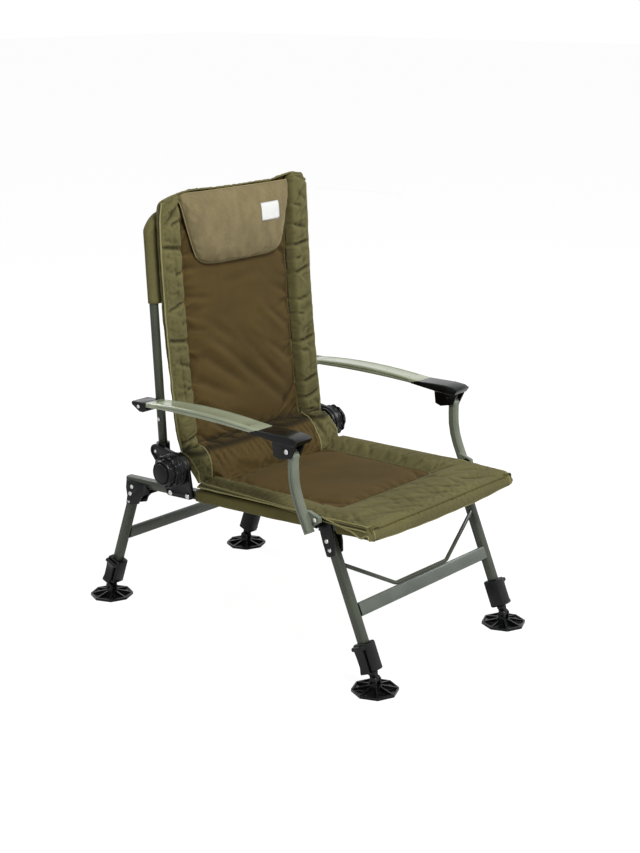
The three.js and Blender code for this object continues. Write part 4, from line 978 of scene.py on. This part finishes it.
ROLL_SEAM = ROLL_GUSSET / ROLL_HALF
ROLL_ACROSS = seamed_steps(110, 0.5, (-ROLL_SEAM, ROLL_SEAM))
roll = Pad("lumbar_roll_cover", ROLL_ACROSS, steps(26, 0.5), roll_place, "roll_cover")


def roll_held():
    seam = bump(np.abs(roll.u) * ROLL_HALF - ROLL_GUSSET, SEAM_HOLD) * FIRM
    rim = roll.rim((0.985, 0.998), (0.95, 0.995))
    return np.clip(np.maximum(seam, rim) + (roll.side < 0) * FIRM, 0, 1)


billow(
    [
        (seat, seat_held(), 7 * MM, 0.03),
        (back, back_held(), 7 * MM, 0.035),
        (pillow, pillow_held(), 6 * MM, 0.02),
        (roll, roll_held(), 7 * MM, 0.05),
    ]
)

# Folds of the seat's front flap and border: ends in x and y, depth and half width
SEAT_FOLDS = [
    (-150, -316, -66, -358, 3.8, 7), (-118, -308, -20, -372, 3.6, 7), (28, -330, 92, -378, 4.0, 7),
    (-16, -345, 64, -392, 3.6, 6), (98, -315, 170, -384, 4.0, 8), (-186, -352, -92, -392, 3.4, 7),
    (150, -300, 214, -352, 3.6, 8), (-212, -319, -238, -366, 3.2, 6), (-40, -290, 40, -345, 3.0, 8),
    (60, -280, 150, -335, 3.0, 8), (-196, -300, -120, -345, 3.0, 7), (130, -345, 206, -396, 3.2, 7),
    (-132, -352, -50, -396, 3.0, 6), (-6, -366, 30, -398, 2.6, 6), (168, -246, 244, -258, 2.6, 4),
    (60, -300, 130, -340, -2.6, 8), (-84, -330, -10, -366, -2.6, 8), (0, -320, 70, -370, -2.4, 7),
    (-196, -260, -236, -250, 1.6, 6), (166, -243, 250, -212, 1.2, 4), (-166, -243, -250, -212, 1.2, 4),
    (-120, -60, 60, -120, 1.4, 34), (-40, 40, 130, -20, 1.4, 30), (10, -170, 140, -205, 1.2, 26),
]
seat.crease(SEAT_FOLDS, [0, 1], 1.15)
seat.roughen(0.6 * MM, 55 * MM, held=(seat.side < 1) * 1.0)

# Creases of the brown back panel: ends in x and z, depth and half width
BACK_FOLDS = [
    (-105, 640, 172, 416, 5.0, 13), (-60, 660, 150, 500, -3.4, 13), (-20, 640, 140, 486, 4.4, 11),
    (22, 650, 168, 500, -3.0, 11), (40, 620, 172, 540, 3.4, 10), (-150, 615, 10, 505, 4.2, 12),
    (-140, 640, -10, 560, -2.6, 12), (-172, 560, -40, 492, 3.6, 11), (-92, 468, 30, 420, 3.6, 12),
    (-170, 520, -60, 455, -2.6, 12), (61, 690, 152, 600, -3.0, 12), (80, 680, 168, 620, 2.6, 9),
    (-67, 755, 60, 766, 2.2, 13), (-176, 736, -100, 728, 3.0, 8), (-182, 664, -108, 655, 3.0, 8),
    (-134, 691, 32, 589, 3.0, 13), (-183, 799, -128, 797, 3.2, 7), (126, 818, 160, 790, 3.0, 6),
    (-40, 780, 90, 730, -2.0, 18), (-174, 600, -120, 590, 2.4, 8), (100, 730, 172, 700, 2.0, 9),
    (-150, 430, -110, 470, 2.6, 9), (120, 440, 172, 470, 2.4, 9),
    (-208, 905, -203, 700, 1.8, 6), (-214, 640, -205, 470, 2.2, 6), (-224, 820, -220, 660, -1.4, 6),
    (204, 925, 209, 730, 2.0, 6), (213, 650, 205, 480, 2.2, 6), (222, 800, 224, 640, -1.4, 6),
    (-204, 430, -240, 405, -3.4, 5), (-198, 424, -230, 400, 4.0, 5), (196, 934, 232, 905, 3.0, 6),
    (-182, 944, -232, 896, 7.0, 6), (-190, 958, -238, 916, -4.0, 6), (206, 436, 240, 418, 2.8, 5),
]
back.crease(BACK_FOLDS, [0, 2], 1.4)


def press_pinches():
    points = back.points()
    weight = pinch_weight(points) * (back.side > 0)
    rim = smooth_step(0.86, 1.0, np.abs(back.u)) * np.sign(back.u)
    back.move(points + np.stack([-weight * rim * 3 * MM, weight * 10 * MM, weight * 0], axis=1))


press_pinches()
back.roughen(1.5 * MM, 34 * MM, (1, 1, 1.6), (np.abs(back.u) < BACK_SEAM) * 0.6)

# Puckers of the lumbar roll below its upper seam, and creases at its ends, in millimetres:
# ends in x and z, depth and half width
UPPER_SEAM = 402
ROLL_CREASES = [
    (-226, 402, -205, 352, 3.2, 6), (214, 400, 226, 350, 3.2, 6), (-200, 380, -232, 362, 2.4, 5),
]
random.seed(7)
puckers = []
for k in range(22):
    x = -178 + 17 * k + random.uniform(-4, 4)
    low = random.uniform(366, 380)
    end = x + random.uniform(-5, 5)
    puckers.append((x, UPPER_SEAM, end, low, random.uniform(2.4, 4.6), random.uniform(3, 5)))
roll.crease(puckers, [0, 2])
roll.crease(ROLL_CREASES, [0, 2])
pillow.roughen(0.9 * MM, 60 * MM)

for pad, body, slot, node, fill in (
    (seat, "seat_frame", "seat_cloth", "seat_pad", 0.55),
    (back, "backrest", "cover_cloth", "back_cushion", 0.6),
    (pillow, "backrest", "pillow_plush", "head_pillow", 0.65),
):
    pad.smooth()
    finish_piece(pad.piece, body, slot, node)
roll.smooth()
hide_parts("lumbar_roll")


# Piping and seams

def piping(name, line, body, closed=False, radius=PIPING_RADIUS, material="piping", **options):
    piece = tube_along(name, line, radius, material, closed=closed, **options)
    finish_piece(piece, body, "cover_cloth")


def conform(pad):
    graph = bpy.context.evaluated_depsgraph_get()
    return BVHTree.FromObject(pad.piece, graph)


# How far before a place its line towards a surface starts, and places that such lines run through
RAY_RUN_UP = 0.3
PILLOW_AIM_Y = 0.1
BACK_AIM_Y = -0.1
SEAT_AIM_Z = 0.6


def on_surface(tree, point, direction, lift):
    """Where a line through the point meets a surface, lifted off it, or else the point itself."""
    start = Vector(point) - Vector(direction) * RAY_RUN_UP
    hit, normal, _, _ = tree.ray_cast(start, Vector(direction))
    return hit + normal * lift if hit else Vector(point)


def laid(tree, places, direction, lift=0.3 * MM):
    return [on_surface(tree, p, direction, lift) for p in places]


def side_seam(pad, sign):
    """The seam down one side of a pad, without its two ends."""
    return pad.column(-1 if sign > 0 else 0)[1:-1]


def seat_edge(y, drop):
    """A height below the seat's side edge, which doesn't follow the front bend."""
    return float(seat_top(np.array(SEAT_HALF_REAR), max(y, SEAT_BEND_Y))) - drop


# Cords along the seat's sides: drop below the edge and radius in millimetres, and cloth
SIDE_CORDS = (
    ("upper", 3, 1.6, "piping"),
    # The inner cord is a dark cord laid as painted shade in the groove between the two pipings
    ("inner", 7, 1.1, "dark_binding"),
    ("middle", 11, 1.6, "piping"),
)
seat_skin = conform(seat)
depths = np.linspace(SEAT_REAR_Y - 3 * MM, SEAT_BEND_Y - 10 * MM, 90)
near, far = SEAT_HALF_REAR - 15 * MM, SEAT_HALF_FRONT + 3 * MM
for word, sign in SIDES:
    for level, drop, cord, cloth in SIDE_CORDS:
        places = [(sign * SEAT_HALF_FRONT, y, seat_edge(y, drop * MM)) for y in depths]
        line = laid(seat_skin, places, (-sign, 0, 0), 0.6 * MM)
        line = [p for p in line if near < sign * p.x < far and p.y < SEAT_REAR_Y - 6 * MM]
        piping(f"seat_{level}_piping_{word}", line, "seat_frame", radius=cord * MM, material=cloth)
    piping(f"seat_lower_piping_{word}", side_seam(seat, sign), "seat_frame", radius=1.8 * MM)
    rim = side_seam(back, sign)
    piping(f"back_piping_{word}", rim, "backrest")
    # A dark cord just behind the side piping: painted shade in the gap at the bolster's rear edge
    behind = [p + np.array([-sign * 0.4, 3.4, 0]) * MM for p in rim]
    piping(f"back_rear_shade_cord_{word}", behind, "backrest", radius=1.4 * MM, material="dark_binding")
for word, sign in SIDES:
    column = int(np.argmin(np.abs(SEAT_ACROSS - sign * 0.945)))
    line = [p for p in seat.column(column) if p[1] < SEAT_BEND_Y - 4 * MM]
    piping(f"seat_corner_piping_{word}", line, "seat_frame", radius=1.5 * MM)
piping("seat_front_hem", seat.row(0)[1:-1], "seat_frame", radius=1.6 * MM)
piping(
    "back_top_binding", back.row(-1), "backrest", radius=2.2 * MM, material="olive_upright", waver=0.9
)
piping(
    "pillow_piping", pillow.outline(), "backrest", closed=True, radius=1.5 * MM, material="pillow_edge"
)


# The bare label sewn to the pillow
pillow_skin = conform(pillow)


def label_place(u, v, side):
    found = []
    for a, b, s in zip(u, v, side):
        x = mix(LABEL_INNER, LABEL_OUTER, (a + 1) / 2)
        z = mix(LABEL_LOW, LABEL_HIGH, (b + 1) / 2)
        lift = LABEL_LIFT + LABEL_HALF_THICKNESS * s
        found += laid(pillow_skin, [(x, PILLOW_AIM_Y, z)], (0, 1, 0), lift)
    return np.array([tuple(p) for p in found])


label = Pad("headrest_label", np.linspace(-1, 1, 17), np.linspace(-1, 1, 11), label_place, "label")
finish_piece(label.piece, "backrest", "cover_cloth")


def label_border(inset):
    left, right = LABEL_INNER + inset, LABEL_OUTER - inset
    low, high = LABEL_LOW + inset, LABEL_HIGH - inset
    corners = [(left, low), (right, low), (right, high), (left, high)]
    lines = []
    for (ax, az), (bx, bz) in zip(corners, corners[1:] + corners[:1]):
        places = [(mix(ax, bx, k / 12), PILLOW_AIM_Y, mix(az, bz, k / 12)) for k in range(13)]
        lines.append((laid(pillow_skin, places, (0, 1, 0), 1.2 * MM), (0, -1, 0)))
    return lines


border = stitches("label_stitches", label_border(2 * MM), "white_thread")
finish_piece(border, "backrest", "cover_cloth")

# Rows of stitches beside the piping and along the panel seams
back_skin = conform(back)


def back_rows():
    rows = []
    heights = np.linspace(BACK_BOTTOM + 14 * MM, BACK_HEAD - 22 * MM, 90)
    for reach in (BACK_HALF - 5.5 * MM, BACK_PANEL_HALF - 4.5 * MM):
        for sign in (-1, 1):
            line = laid(back_skin, [(sign * reach, BACK_AIM_Y, z) for z in heights], (0, 1, 0))
            rows.append((line, (0, -1, 0)))
    return rows


def seat_row(places):
    """Stitches on the seat's top over places in x and y."""
    return laid(seat_skin, [(x, y, SEAT_AIM_Z) for x, y in places], (0, 0, -1)), (0, 0, 1)


def seat_rows():
    rear = SEAT_REAR_Y - 12 * MM
    side_x = SEAT_HALF_REAR - 7 * MM
    depths = np.linspace(rear, SEAT_BEND_Y + 6 * MM, 80)
    rows = [seat_row([(sign * side_x, y) for y in depths]) for sign in (-1, 1)]
    radius = SEAT_PANEL_CORNER + 4 * MM
    centre_x = SEAT_PANEL_HALF - SEAT_PANEL_CORNER
    centre_y = SEAT_PANEL_FRONT + SEAT_PANEL_CORNER
    turns = np.linspace(0, math.pi / 2, 8)
    side = [(centre_x + radius, y) for y in np.linspace(rear, centre_y, 50)]
    bend = [(centre_x + radius * math.cos(t), centre_y - radius * math.sin(t)) for t in turns]
    front = [(x, centre_y - radius) for x in np.linspace(centre_x, 0, 26)]
    half = side + bend + front
    return rows + [seat_row(half + [(-x, y) for x, y in reversed(half)])]


finish_piece(stitches("back_stitches", back_rows()), "backrest", "cover_cloth")
finish_piece(stitches("seat_stitches", seat_rows()), "seat_frame", "cover_cloth")

roll_cords = []
roll_lift = np.array(ROLL_OUT) * 0.5 * MM
for word, sign in SIDES:
    for level, reach in (("gusset", ROLL_SEAM), ("end", 0.985)):
        column = int(np.argmin(np.abs(ROLL_ACROSS - sign * reach)))
        line = [p + roll_lift for p in roll.column(column)]
        roll_cords.append(tube_along(f"roll_{level}_piping_{word}", line, 1.5 * MM, "piping"))
for piece in (roll.piece, *roll_cords):
    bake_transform(piece)


# Sling under the seat: a sheet with sleeves round the rails and hems round the cross tubes

def sleeve_path(y, sign):
    """Round one rail, from the inner side under it and over its top, in x and z."""
    half_x = RAIL_WIDTH / 2 + CLOTH_GAP + CLOTH / 2
    half_z = RAIL_HEIGHT / 2 + CLOTH_GAP + CLOTH / 2
    path = []
    for corner, (cx, cz) in enumerate([(-1, -1), (1, -1), (1, 1), (-1, 1)]):
        for k in range(5):
            turn = math.pi * (1 + corner / 2) + math.pi / 2 * k / 4
            x = cx * (half_x - SLEEVE_CORNER) + SLEEVE_CORNER * math.cos(turn)
            z = cz * (half_z - SLEEVE_CORNER) + SLEEVE_CORNER * math.sin(turn)
            path.append((sign * (RAIL_X + x), rail_middle(y) + z))
    return path


def sling_ring(y):
    """The sling from one sleeve over the sagging sheet to the other, at one depth."""
    right, left = sleeve_path(y, -1), sleeve_path(y, 1)
    inner = RAIL_X - RAIL_WIDTH / 2 - 4 * MM
    held_y = min(max(y, FRONT_TUBE_Y), REAR_TUBE_Y)
    across = np.linspace(-inner, inner, 40)
    sheet = [(x, float(sling_top(np.array(x), held_y)) - CLOTH) for x in across]
    return [(x, y, z) for x, z in right + sheet + left[::-1]]


def gathered(place, on_sleeve):
    """Moves a point of the sling by the cloth's folds: deep ones round the rails."""
    if not on_sleeve:
        fold = noise.noise(Vector((place.x * 16, place.y * 16, 3.0)))
        return place + Vector((0, 0, fold * SLING_FOLD - 0.5 * MM))
    middle = Vector((math.copysign(RAIL_X, place.x), place.y, rail_middle(place.y)))
    fold = noise.noise(Vector((place.x * 40, place.y * 17, place.z * 40)))
    return place + (place - middle).normalized() * (0.5 + 0.5 * fold) * SLEEVE_FOLD


def sling_mesh():
    """The sheet with its two sleeves, which are cut out round the front leg brackets."""
    stations = np.linspace(SLING_FRONT_Y, SLING_REAR_Y, 64)
    rings = [sling_ring(y) for y in stations]
    sleeve = len(sleeve_path(0, 1))
    width = len(rings[0])
    points = []
    for ring in rings:
        for k, p in enumerate(ring):
            points.append(gathered(Vector(p), k < sleeve - 3 or k > width - sleeve + 2))
    low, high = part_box("front_leg_bracket_left")
    faces = []
    for i in range(len(rings) - 1):
        y = (stations[i] + stations[i + 1]) / 2
        at_bracket = low.y - 4 * MM < y < high.y + 4 * MM
        for k in range(width - 1):
            on_sleeve = k < sleeve - 1 or k >= width - sleeve
            if on_sleeve and at_bracket:
                continue
            a, b = i * width + k, (i + 1) * width + k
            faces.append((a, a + 1, b + 1, b))
    return add_mesh("seat_sling_cloth", points, faces, "olive_level")


def hem_mesh(name, y):
    """A hem round a cross tube, slightly gathered."""
    half = RAIL_X - RAIL_WIDTH / 2 - 1.2 * MM
    radius = CROSS_TUBE_RADIUS + CLOTH_GAP + CLOTH / 2
    points, faces = [], []
    across, around = 90, 24
    for i in range(across + 1):
        x = mix(-half, half, i / across)
        for k in range(around):
            turn = 2 * math.pi * k / around
            fold = noise.noise(Vector((x * 90, math.cos(turn) * 1.5, math.sin(turn) * 1.5)))
            size = radius + (0.5 + 0.5 * fold) * HEM_FOLD
            points.append((x, y + size * math.cos(turn), rail_middle(y) + size * math.sin(turn)))
    for i in range(across):
        faces += ring_faces((i + 1) * around, i * around, around)
    return add_mesh(name, points, faces, "olive_level")


def thicken(piece, thickness):
    modifier = piece.modifiers.new("thickness", "SOLIDIFY")
    modifier.thickness = thickness
    modifier.offset = 0


sling = sling_mesh()
hems = [hem_mesh("sling_front_hem", FRONT_TUBE_Y), hem_mesh("sling_rear_hem", REAR_TUBE_Y)]
for piece in [sling, *hems]:
    thicken(piece, CLOTH)
    finish_piece(piece, "seat_frame", "cover_cloth")
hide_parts("seat_sling")


# Hood over the top of the back frame

def hood_mesh():
    """Two skins over the frame, joined along the arch of its sides and top and open below."""
    _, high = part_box("back_hood")
    half, top = high.x, high.z
    radius = BACK_TUBE_RADIUS + CLOTH_GAP + CLOTH
    across, along = steps(70, 0.8), np.linspace(0, 1, 44) ** 0.8
    points, faces, key = [], [], {}
    for side in (1, -1):
        rear = side < 0
        for i, u in enumerate(across):
            x = u * half
            beyond = max(0.0, abs(x) - (half - HOOD_CORNER))
            peak = top - HOOD_CORNER + math.sqrt(max(0, HOOD_CORNER**2 - beyond**2))
            for j, share in enumerate(along):
                joined = i in (0, len(across) - 1) or j == len(along) - 1
                if joined and rear:
                    key[side, i, j] = key[1, i, j]
                    continue
                z = mix(HOOD_BOTTOM, peak, share)
                reach = min(half - abs(x), peak - z)
                round_share = min(1.0, max(0.0, reach) / radius)
                thick = radius * math.sqrt(max(0.0, 1 - (1 - round_share) ** 2))
                sink = HOOD_SINK * float(smooth_step(radius, 60 * MM, reach))
                fold = noise.noise(Vector((x * 22, side * 3.0, z * 13))) * HOOD_FOLD * round_share
                bulge = thick - sink * (1 if rear else 0.3) + fold * rear
                key[side, i, j] = len(points)
                points.append((x, tube_line(z) - (0 if joined else side * bulge), z))
    for side in (1, -1):
        for i in range(len(across) - 1):
            for j in range(len(along) - 1):
                corners = [(i, j), (i + 1, j), (i + 1, j + 1), (i, j + 1)]
                face = [key[(side, *c)] for c in corners]
                faces.append(face if side > 0 else face[::-1])
    return add_mesh("frame_hood_cloth", points, faces, "olive_upright")


hood = hood_mesh()
thicken(hood, CLOTH)
finish_piece(hood, "backrest", "cover_cloth", "back_hood")


# Rivets and screws

# Outline of a rivet: out from its axis and up from the part, as shares of its radius and height
DOME_PROFILE = [(1.25, 0), (1.25, 0.16), (1.02, 0.22), (0.95, 0.5), (0.72, 0.82), (0.4, 0.97)]
DOME_SIDES = 20


def dome(name, place, facing, radius, height, body):
    """A domed rivet head on a thin washer."""
    place = Vector(place)
    out = Vector(facing).normalized()
    side = out.orthogonal().normalized()
    around = spokes(side, out.cross(side), DOME_SIDES)
    points = []
    for r, h in DOME_PROFILE:
        points += [place + spoke * r * radius + out * h * height for spoke in around]
    last = len(points) - DOME_SIDES
    points.append(place + out * height)
    faces = []
    for first in range(0, last, DOME_SIDES):
        faces += ring_faces(first, first + DOME_SIDES, DOME_SIDES)
    faces += [(last + k, last + (k + 1) % DOME_SIDES, len(points) - 1) for k in range(DOME_SIDES)]
    faces.append(tuple(range(DOME_SIDES))[::-1])
    finish_piece(add_mesh(name, points, faces, "steel"), body, "rivet_steel")


def part_skin(name):
    """A frame part's surface in the object's own space."""
    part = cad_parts[name]
    points = [part.matrix_world @ v.co for v in part.data.vertices]
    return BVHTree.FromPolygons(points, [tuple(p.vertices) for p in part.data.polygons])


def dome_on(name, part, place, facing, radius, height, body):
    """A rivet head where a line through the place meets the part from outside."""
    hit = on_surface(part_skin(part), place, [-f for f in facing], 0.0)
    dome(name, hit, facing, radius, height, body)


# Rivets: name, x of the face they sit on, y, z and radius in millimetres
EAR_FACE, CASTING_FACE = 246.3, 250.4
RIVETS = [
    ("front_bracket_upper_rivet", EAR_FACE, -254, 343, 4.2),
    ("front_bracket_lower_rivet", EAR_FACE, -289.5, 283, 3.8),
    ("rear_bracket_upper_rivet", EAR_FACE, 303, 293, 4.0),
    ("rear_bracket_lower_rivet", EAR_FACE, 315, 256, 3.4),
    ("casting_rear_rivet", CASTING_FACE, 172, 308, 4.8),
    ("casting_front_rivet", CASTING_FACE, 119, 311, 4.8),
]
for name, face, y, z, size in RIVETS:
    for word, sign in SIDES:
        place = Vector((sign * face, y, z)) * MM
        dome(f"{name}_{word}", place, (sign, 0, 0), size * MM, 2.2 * MM, "seat_frame")

# Bolts whose heads lie on a part's outer face: name, part, y, z and radius in millimetres, body
BEYOND_SIDES = 240
SIDE_BOLTS = [
    ("arm_cap_bolt", "arm_front_cap", -212, 488, 4.4, "arm"),
    ("post_pivot_bolt", "post_bracket", -270.5, 350.4, 4.2, "seat_frame"),
    ("arm_rear_bolt", "arm_rear_cap", 218, 508, 3.4, "arm"),
    ("tube_upper_bolt", "back_tube", 209, 470, 3.6, "backrest"),
    ("casting_bolt", "upper_hinge_casting", 206, 400, 3.2, "backrest"),
]
for name, part, y, z, size, body in SIDE_BOLTS:
    for word, sign in SIDES:
        rides = f"{body}_{word}" if body == "arm" else body
        place = Vector((sign * BEYOND_SIDES, y, z)) * MM
        dome_on(f"{name}_{word}", f"{part}_{word}", place, (sign, 0, 0), size * MM, 2 * MM, rides)


# Finishes of the frame's own parts

def rounded(piece, width):
    """Rounds the edges of a moulded or bent part and shades its round faces smoothly."""
    weld = piece.modifiers.new("weld", "WELD")
    weld.merge_threshold = 0.01 * MM
    bevel = piece.modifiers.new("bevel", "BEVEL")
    bevel.width = width
    bevel.segments = 3
    bevel.limit_method = "ANGLE"
    bevel.angle_limit = math.radians(38)
    shading = piece.modifiers.new("shading", "NODES")
    shading.node_group = smooth_shading


def make_smooth_shading():
    """Smooth faces, with sharp edges kept where two faces meet at more than an angle."""
    group = bpy.data.node_groups.new("smooth_shading", "GeometryNodeTree")
    for way in ("INPUT", "OUTPUT"):
        group.interface.new_socket("Geometry", in_out=way, socket_type="NodeSocketGeometry")
    nodes = Nodes(group)
    shape = nodes.node("NodeGroupInput")
    faces = nodes.node("GeometryNodeSetShadeSmooth", inputs={"Geometry": shape})
    angle = nodes.node("GeometryNodeInputMeshEdgeAngle")
    limit = math.radians(33)
    sharp = nodes.node("FunctionNodeCompare", {"operation": "GREATER_THAN"}, [angle, limit])
    inputs = {"Geometry": faces, "Selection": sharp, "Shade Smooth": False}
    edges = nodes.node("GeometryNodeSetShadeSmooth", {"domain": "EDGE"}, inputs)
    nodes.node("NodeGroupOutput", inputs=[edges])
    return group


smooth_shading = make_smooth_shading()

# Rings of each recline knob: name, x, radius, cord radius, flutes and their depth, in millimetres
KNOB_Y, KNOB_Z = 148.5 * MM, 369.5 * MM
KNOB_RINGS = (
    ("grip", 283, 33.5, 3.0, 12, 1.3),
    ("face", 300.2, 20.5, 1.1, 0, 0),
    ("collar", 272, 35.5, 1.6, 0, 0),
)


def ring_line(x, radius, flutes, depth):
    turns = [2 * math.pi * k / 120 for k in range(120)]
    sizes = [radius + depth * math.cos(flutes * t) for t in turns]
    return [(x, KNOB_Y + r * math.cos(t), KNOB_Z + r * math.sin(t)) for t, r in zip(turns, sizes)]


for word, sign in SIDES:
    for ring_word, x, radius, cord, flutes, depth in KNOB_RINGS:
        line = ring_line(sign * x * MM, radius * MM, flutes, depth * MM)
        ring = tube_along(f"knob_{ring_word}_ring_{word}", line, cord * MM, "nylon", 10, True)
        finish_piece(ring, f"knob_{word}", "black_plastic")

PART_FINISHES = {
    "rail": "frame_paint", "front_leg": "frame_paint", "rear_leg": "frame_paint",
    "back_tube": "frame_paint", "back_top_bow": "frame_paint", "front_brace_rod": "frame_paint",
    "front_cross_tube": "frame_paint", "rear_cross_tube": "frame_paint",
    "front_crossbar": "bar_paint", "rear_crossbar": "bar_paint",
    "armrest": "arm_paint", "arm_post": "post_paint",
    "front_leg_pin": "steel", "rear_leg_pin": "steel",
}
EDGE_ROUNDS = {
    "arm_front_cap": 4 * MM, "upper_hinge_casting": 1.6 * MM,
    "lower_hinge_casting": 1.4 * MM, "front_leg_bracket": 1.2 * MM, "rear_leg_bracket": 1.2 * MM,
    "recline_knob": 1.2 * MM, "armrest": 1.2 * MM, "arm_post": 1.2 * MM,
}
for name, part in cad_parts.items():
    if part.hide_render:
        continue
    kind = name.removesuffix("_left").removesuffix("_right")
    material = MATERIALS[PART_FINISHES.get(kind, "nylon")]
    part.data.materials.clear()
    part.data.materials.append(material)
    for polygon in part.data.polygons:
        polygon.material_index = 0
    rounded(part, EDGE_ROUNDS.get(kind, 0.5 * MM))


# Floor, light and camera

def floor_finish():
    """Pale floor: white to the camera, with the object's soft shadow, and plain pale to the light."""
    material = bpy.data.materials.new("pale_floor")
    material.use_nodes = True
    nodes = Nodes(material.node_tree)
    seen = nodes.node("ShaderNodeLightPath", output="Is Camera Ray")
    plain = nodes.node("ShaderNodeBsdfDiffuse", inputs={"Color": (0.8, 0.8, 0.8, 1)})
    shadowed = nodes.node("ShaderNodeBsdfDiffuse", inputs={"Color": (0.22, 0.22, 0.22, 1)})
    glow = nodes.node("ShaderNodeEmission", inputs={"Strength": 0.9})
    both = nodes.node("ShaderNodeAddShader", inputs=[shadowed, glow])
    picked = nodes.node("ShaderNodeMixShader", inputs=[seen, plain, both])
    nodes.node("ShaderNodeOutputMaterial", inputs=[picked])
    return material


def make_stage():
    half = 30.0
    corners = [(-half, -half, 0), (half, -half, 0), (half, half, 0), (-half, half, 0)]
    mesh = bpy.data.meshes.new("floor")
    mesh.from_pydata(corners, [], [(0, 1, 2, 3)])
    mesh.materials.append(floor_finish())
    floor = bpy.data.objects.new("floor", mesh)
    floor.location.z = -0.5 * MM
    bpy.context.scene.collection.objects.link(floor)
    floor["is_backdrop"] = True


def make_world():
    """A dim white room round the object, bright white to the camera and in reflections."""
    world = bpy.data.worlds.new("studio")
    bpy.context.scene.world = world
    world.use_nodes = True
    nodes = Nodes(world.node_tree)
    camera, glossy, through = (
        nodes.node("ShaderNodeLightPath", output=f"Is {kind} Ray")
        for kind in ("Camera", "Glossy", "Transmission")
    )
    room, bright = (
        nodes.node("ShaderNodeBackground", inputs={"Color": (1, 1, 1, 1), "Strength": strength})
        for strength in (0.36, 1.0)
    )
    seen = camera.most(glossy).most(through)
    picked = nodes.node("ShaderNodeMixShader", inputs=[seen, room, bright])
    nodes.node("ShaderNodeOutputWorld", inputs=[picked])


def add_lamp(name, place, aim, size, power):
    light = bpy.data.lights.new(name, "AREA")
    light.size = size
    light.energy = power
    lamp = bpy.data.objects.new(name, light)
    lamp.location = place
    lamp.rotation_euler = (Vector(aim) - Vector(place)).to_track_quat("-Z", "Y").to_euler()
    bpy.context.scene.collection.objects.link(lamp)


def add_camera():
    data = bpy.data.cameras.new("camera")
    data.lens = LENS
    data.clip_end = 100
    camera = bpy.data.objects.new("camera", data)
    camera.location = CAMERA_PLACE
    camera.rotation_euler = (CAMERA_AIM - CAMERA_PLACE).to_track_quat("-Z", "Y").to_euler()
    bpy.context.scene.collection.objects.link(camera)
    bpy.context.scene.camera = camera


make_stage()
make_world()
# Lamps: name, place and the height they aim at, width and power
for name, place, height, size, power in (
    ("key", (-1.0, -2.4, 3.3), 0.45, 0.9, 118),
    ("side", (2.6, -1.2, 1.8), 0.5, 1.2, 22),
    ("rear", (0.4, 2.6, 2.4), 0.5, 1.2, 30),
):
    add_lamp(name, place, (0, 0, height), size, power)
add_camera()
bpy.context.scene.view_settings.view_transform = "Standard"

low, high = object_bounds()
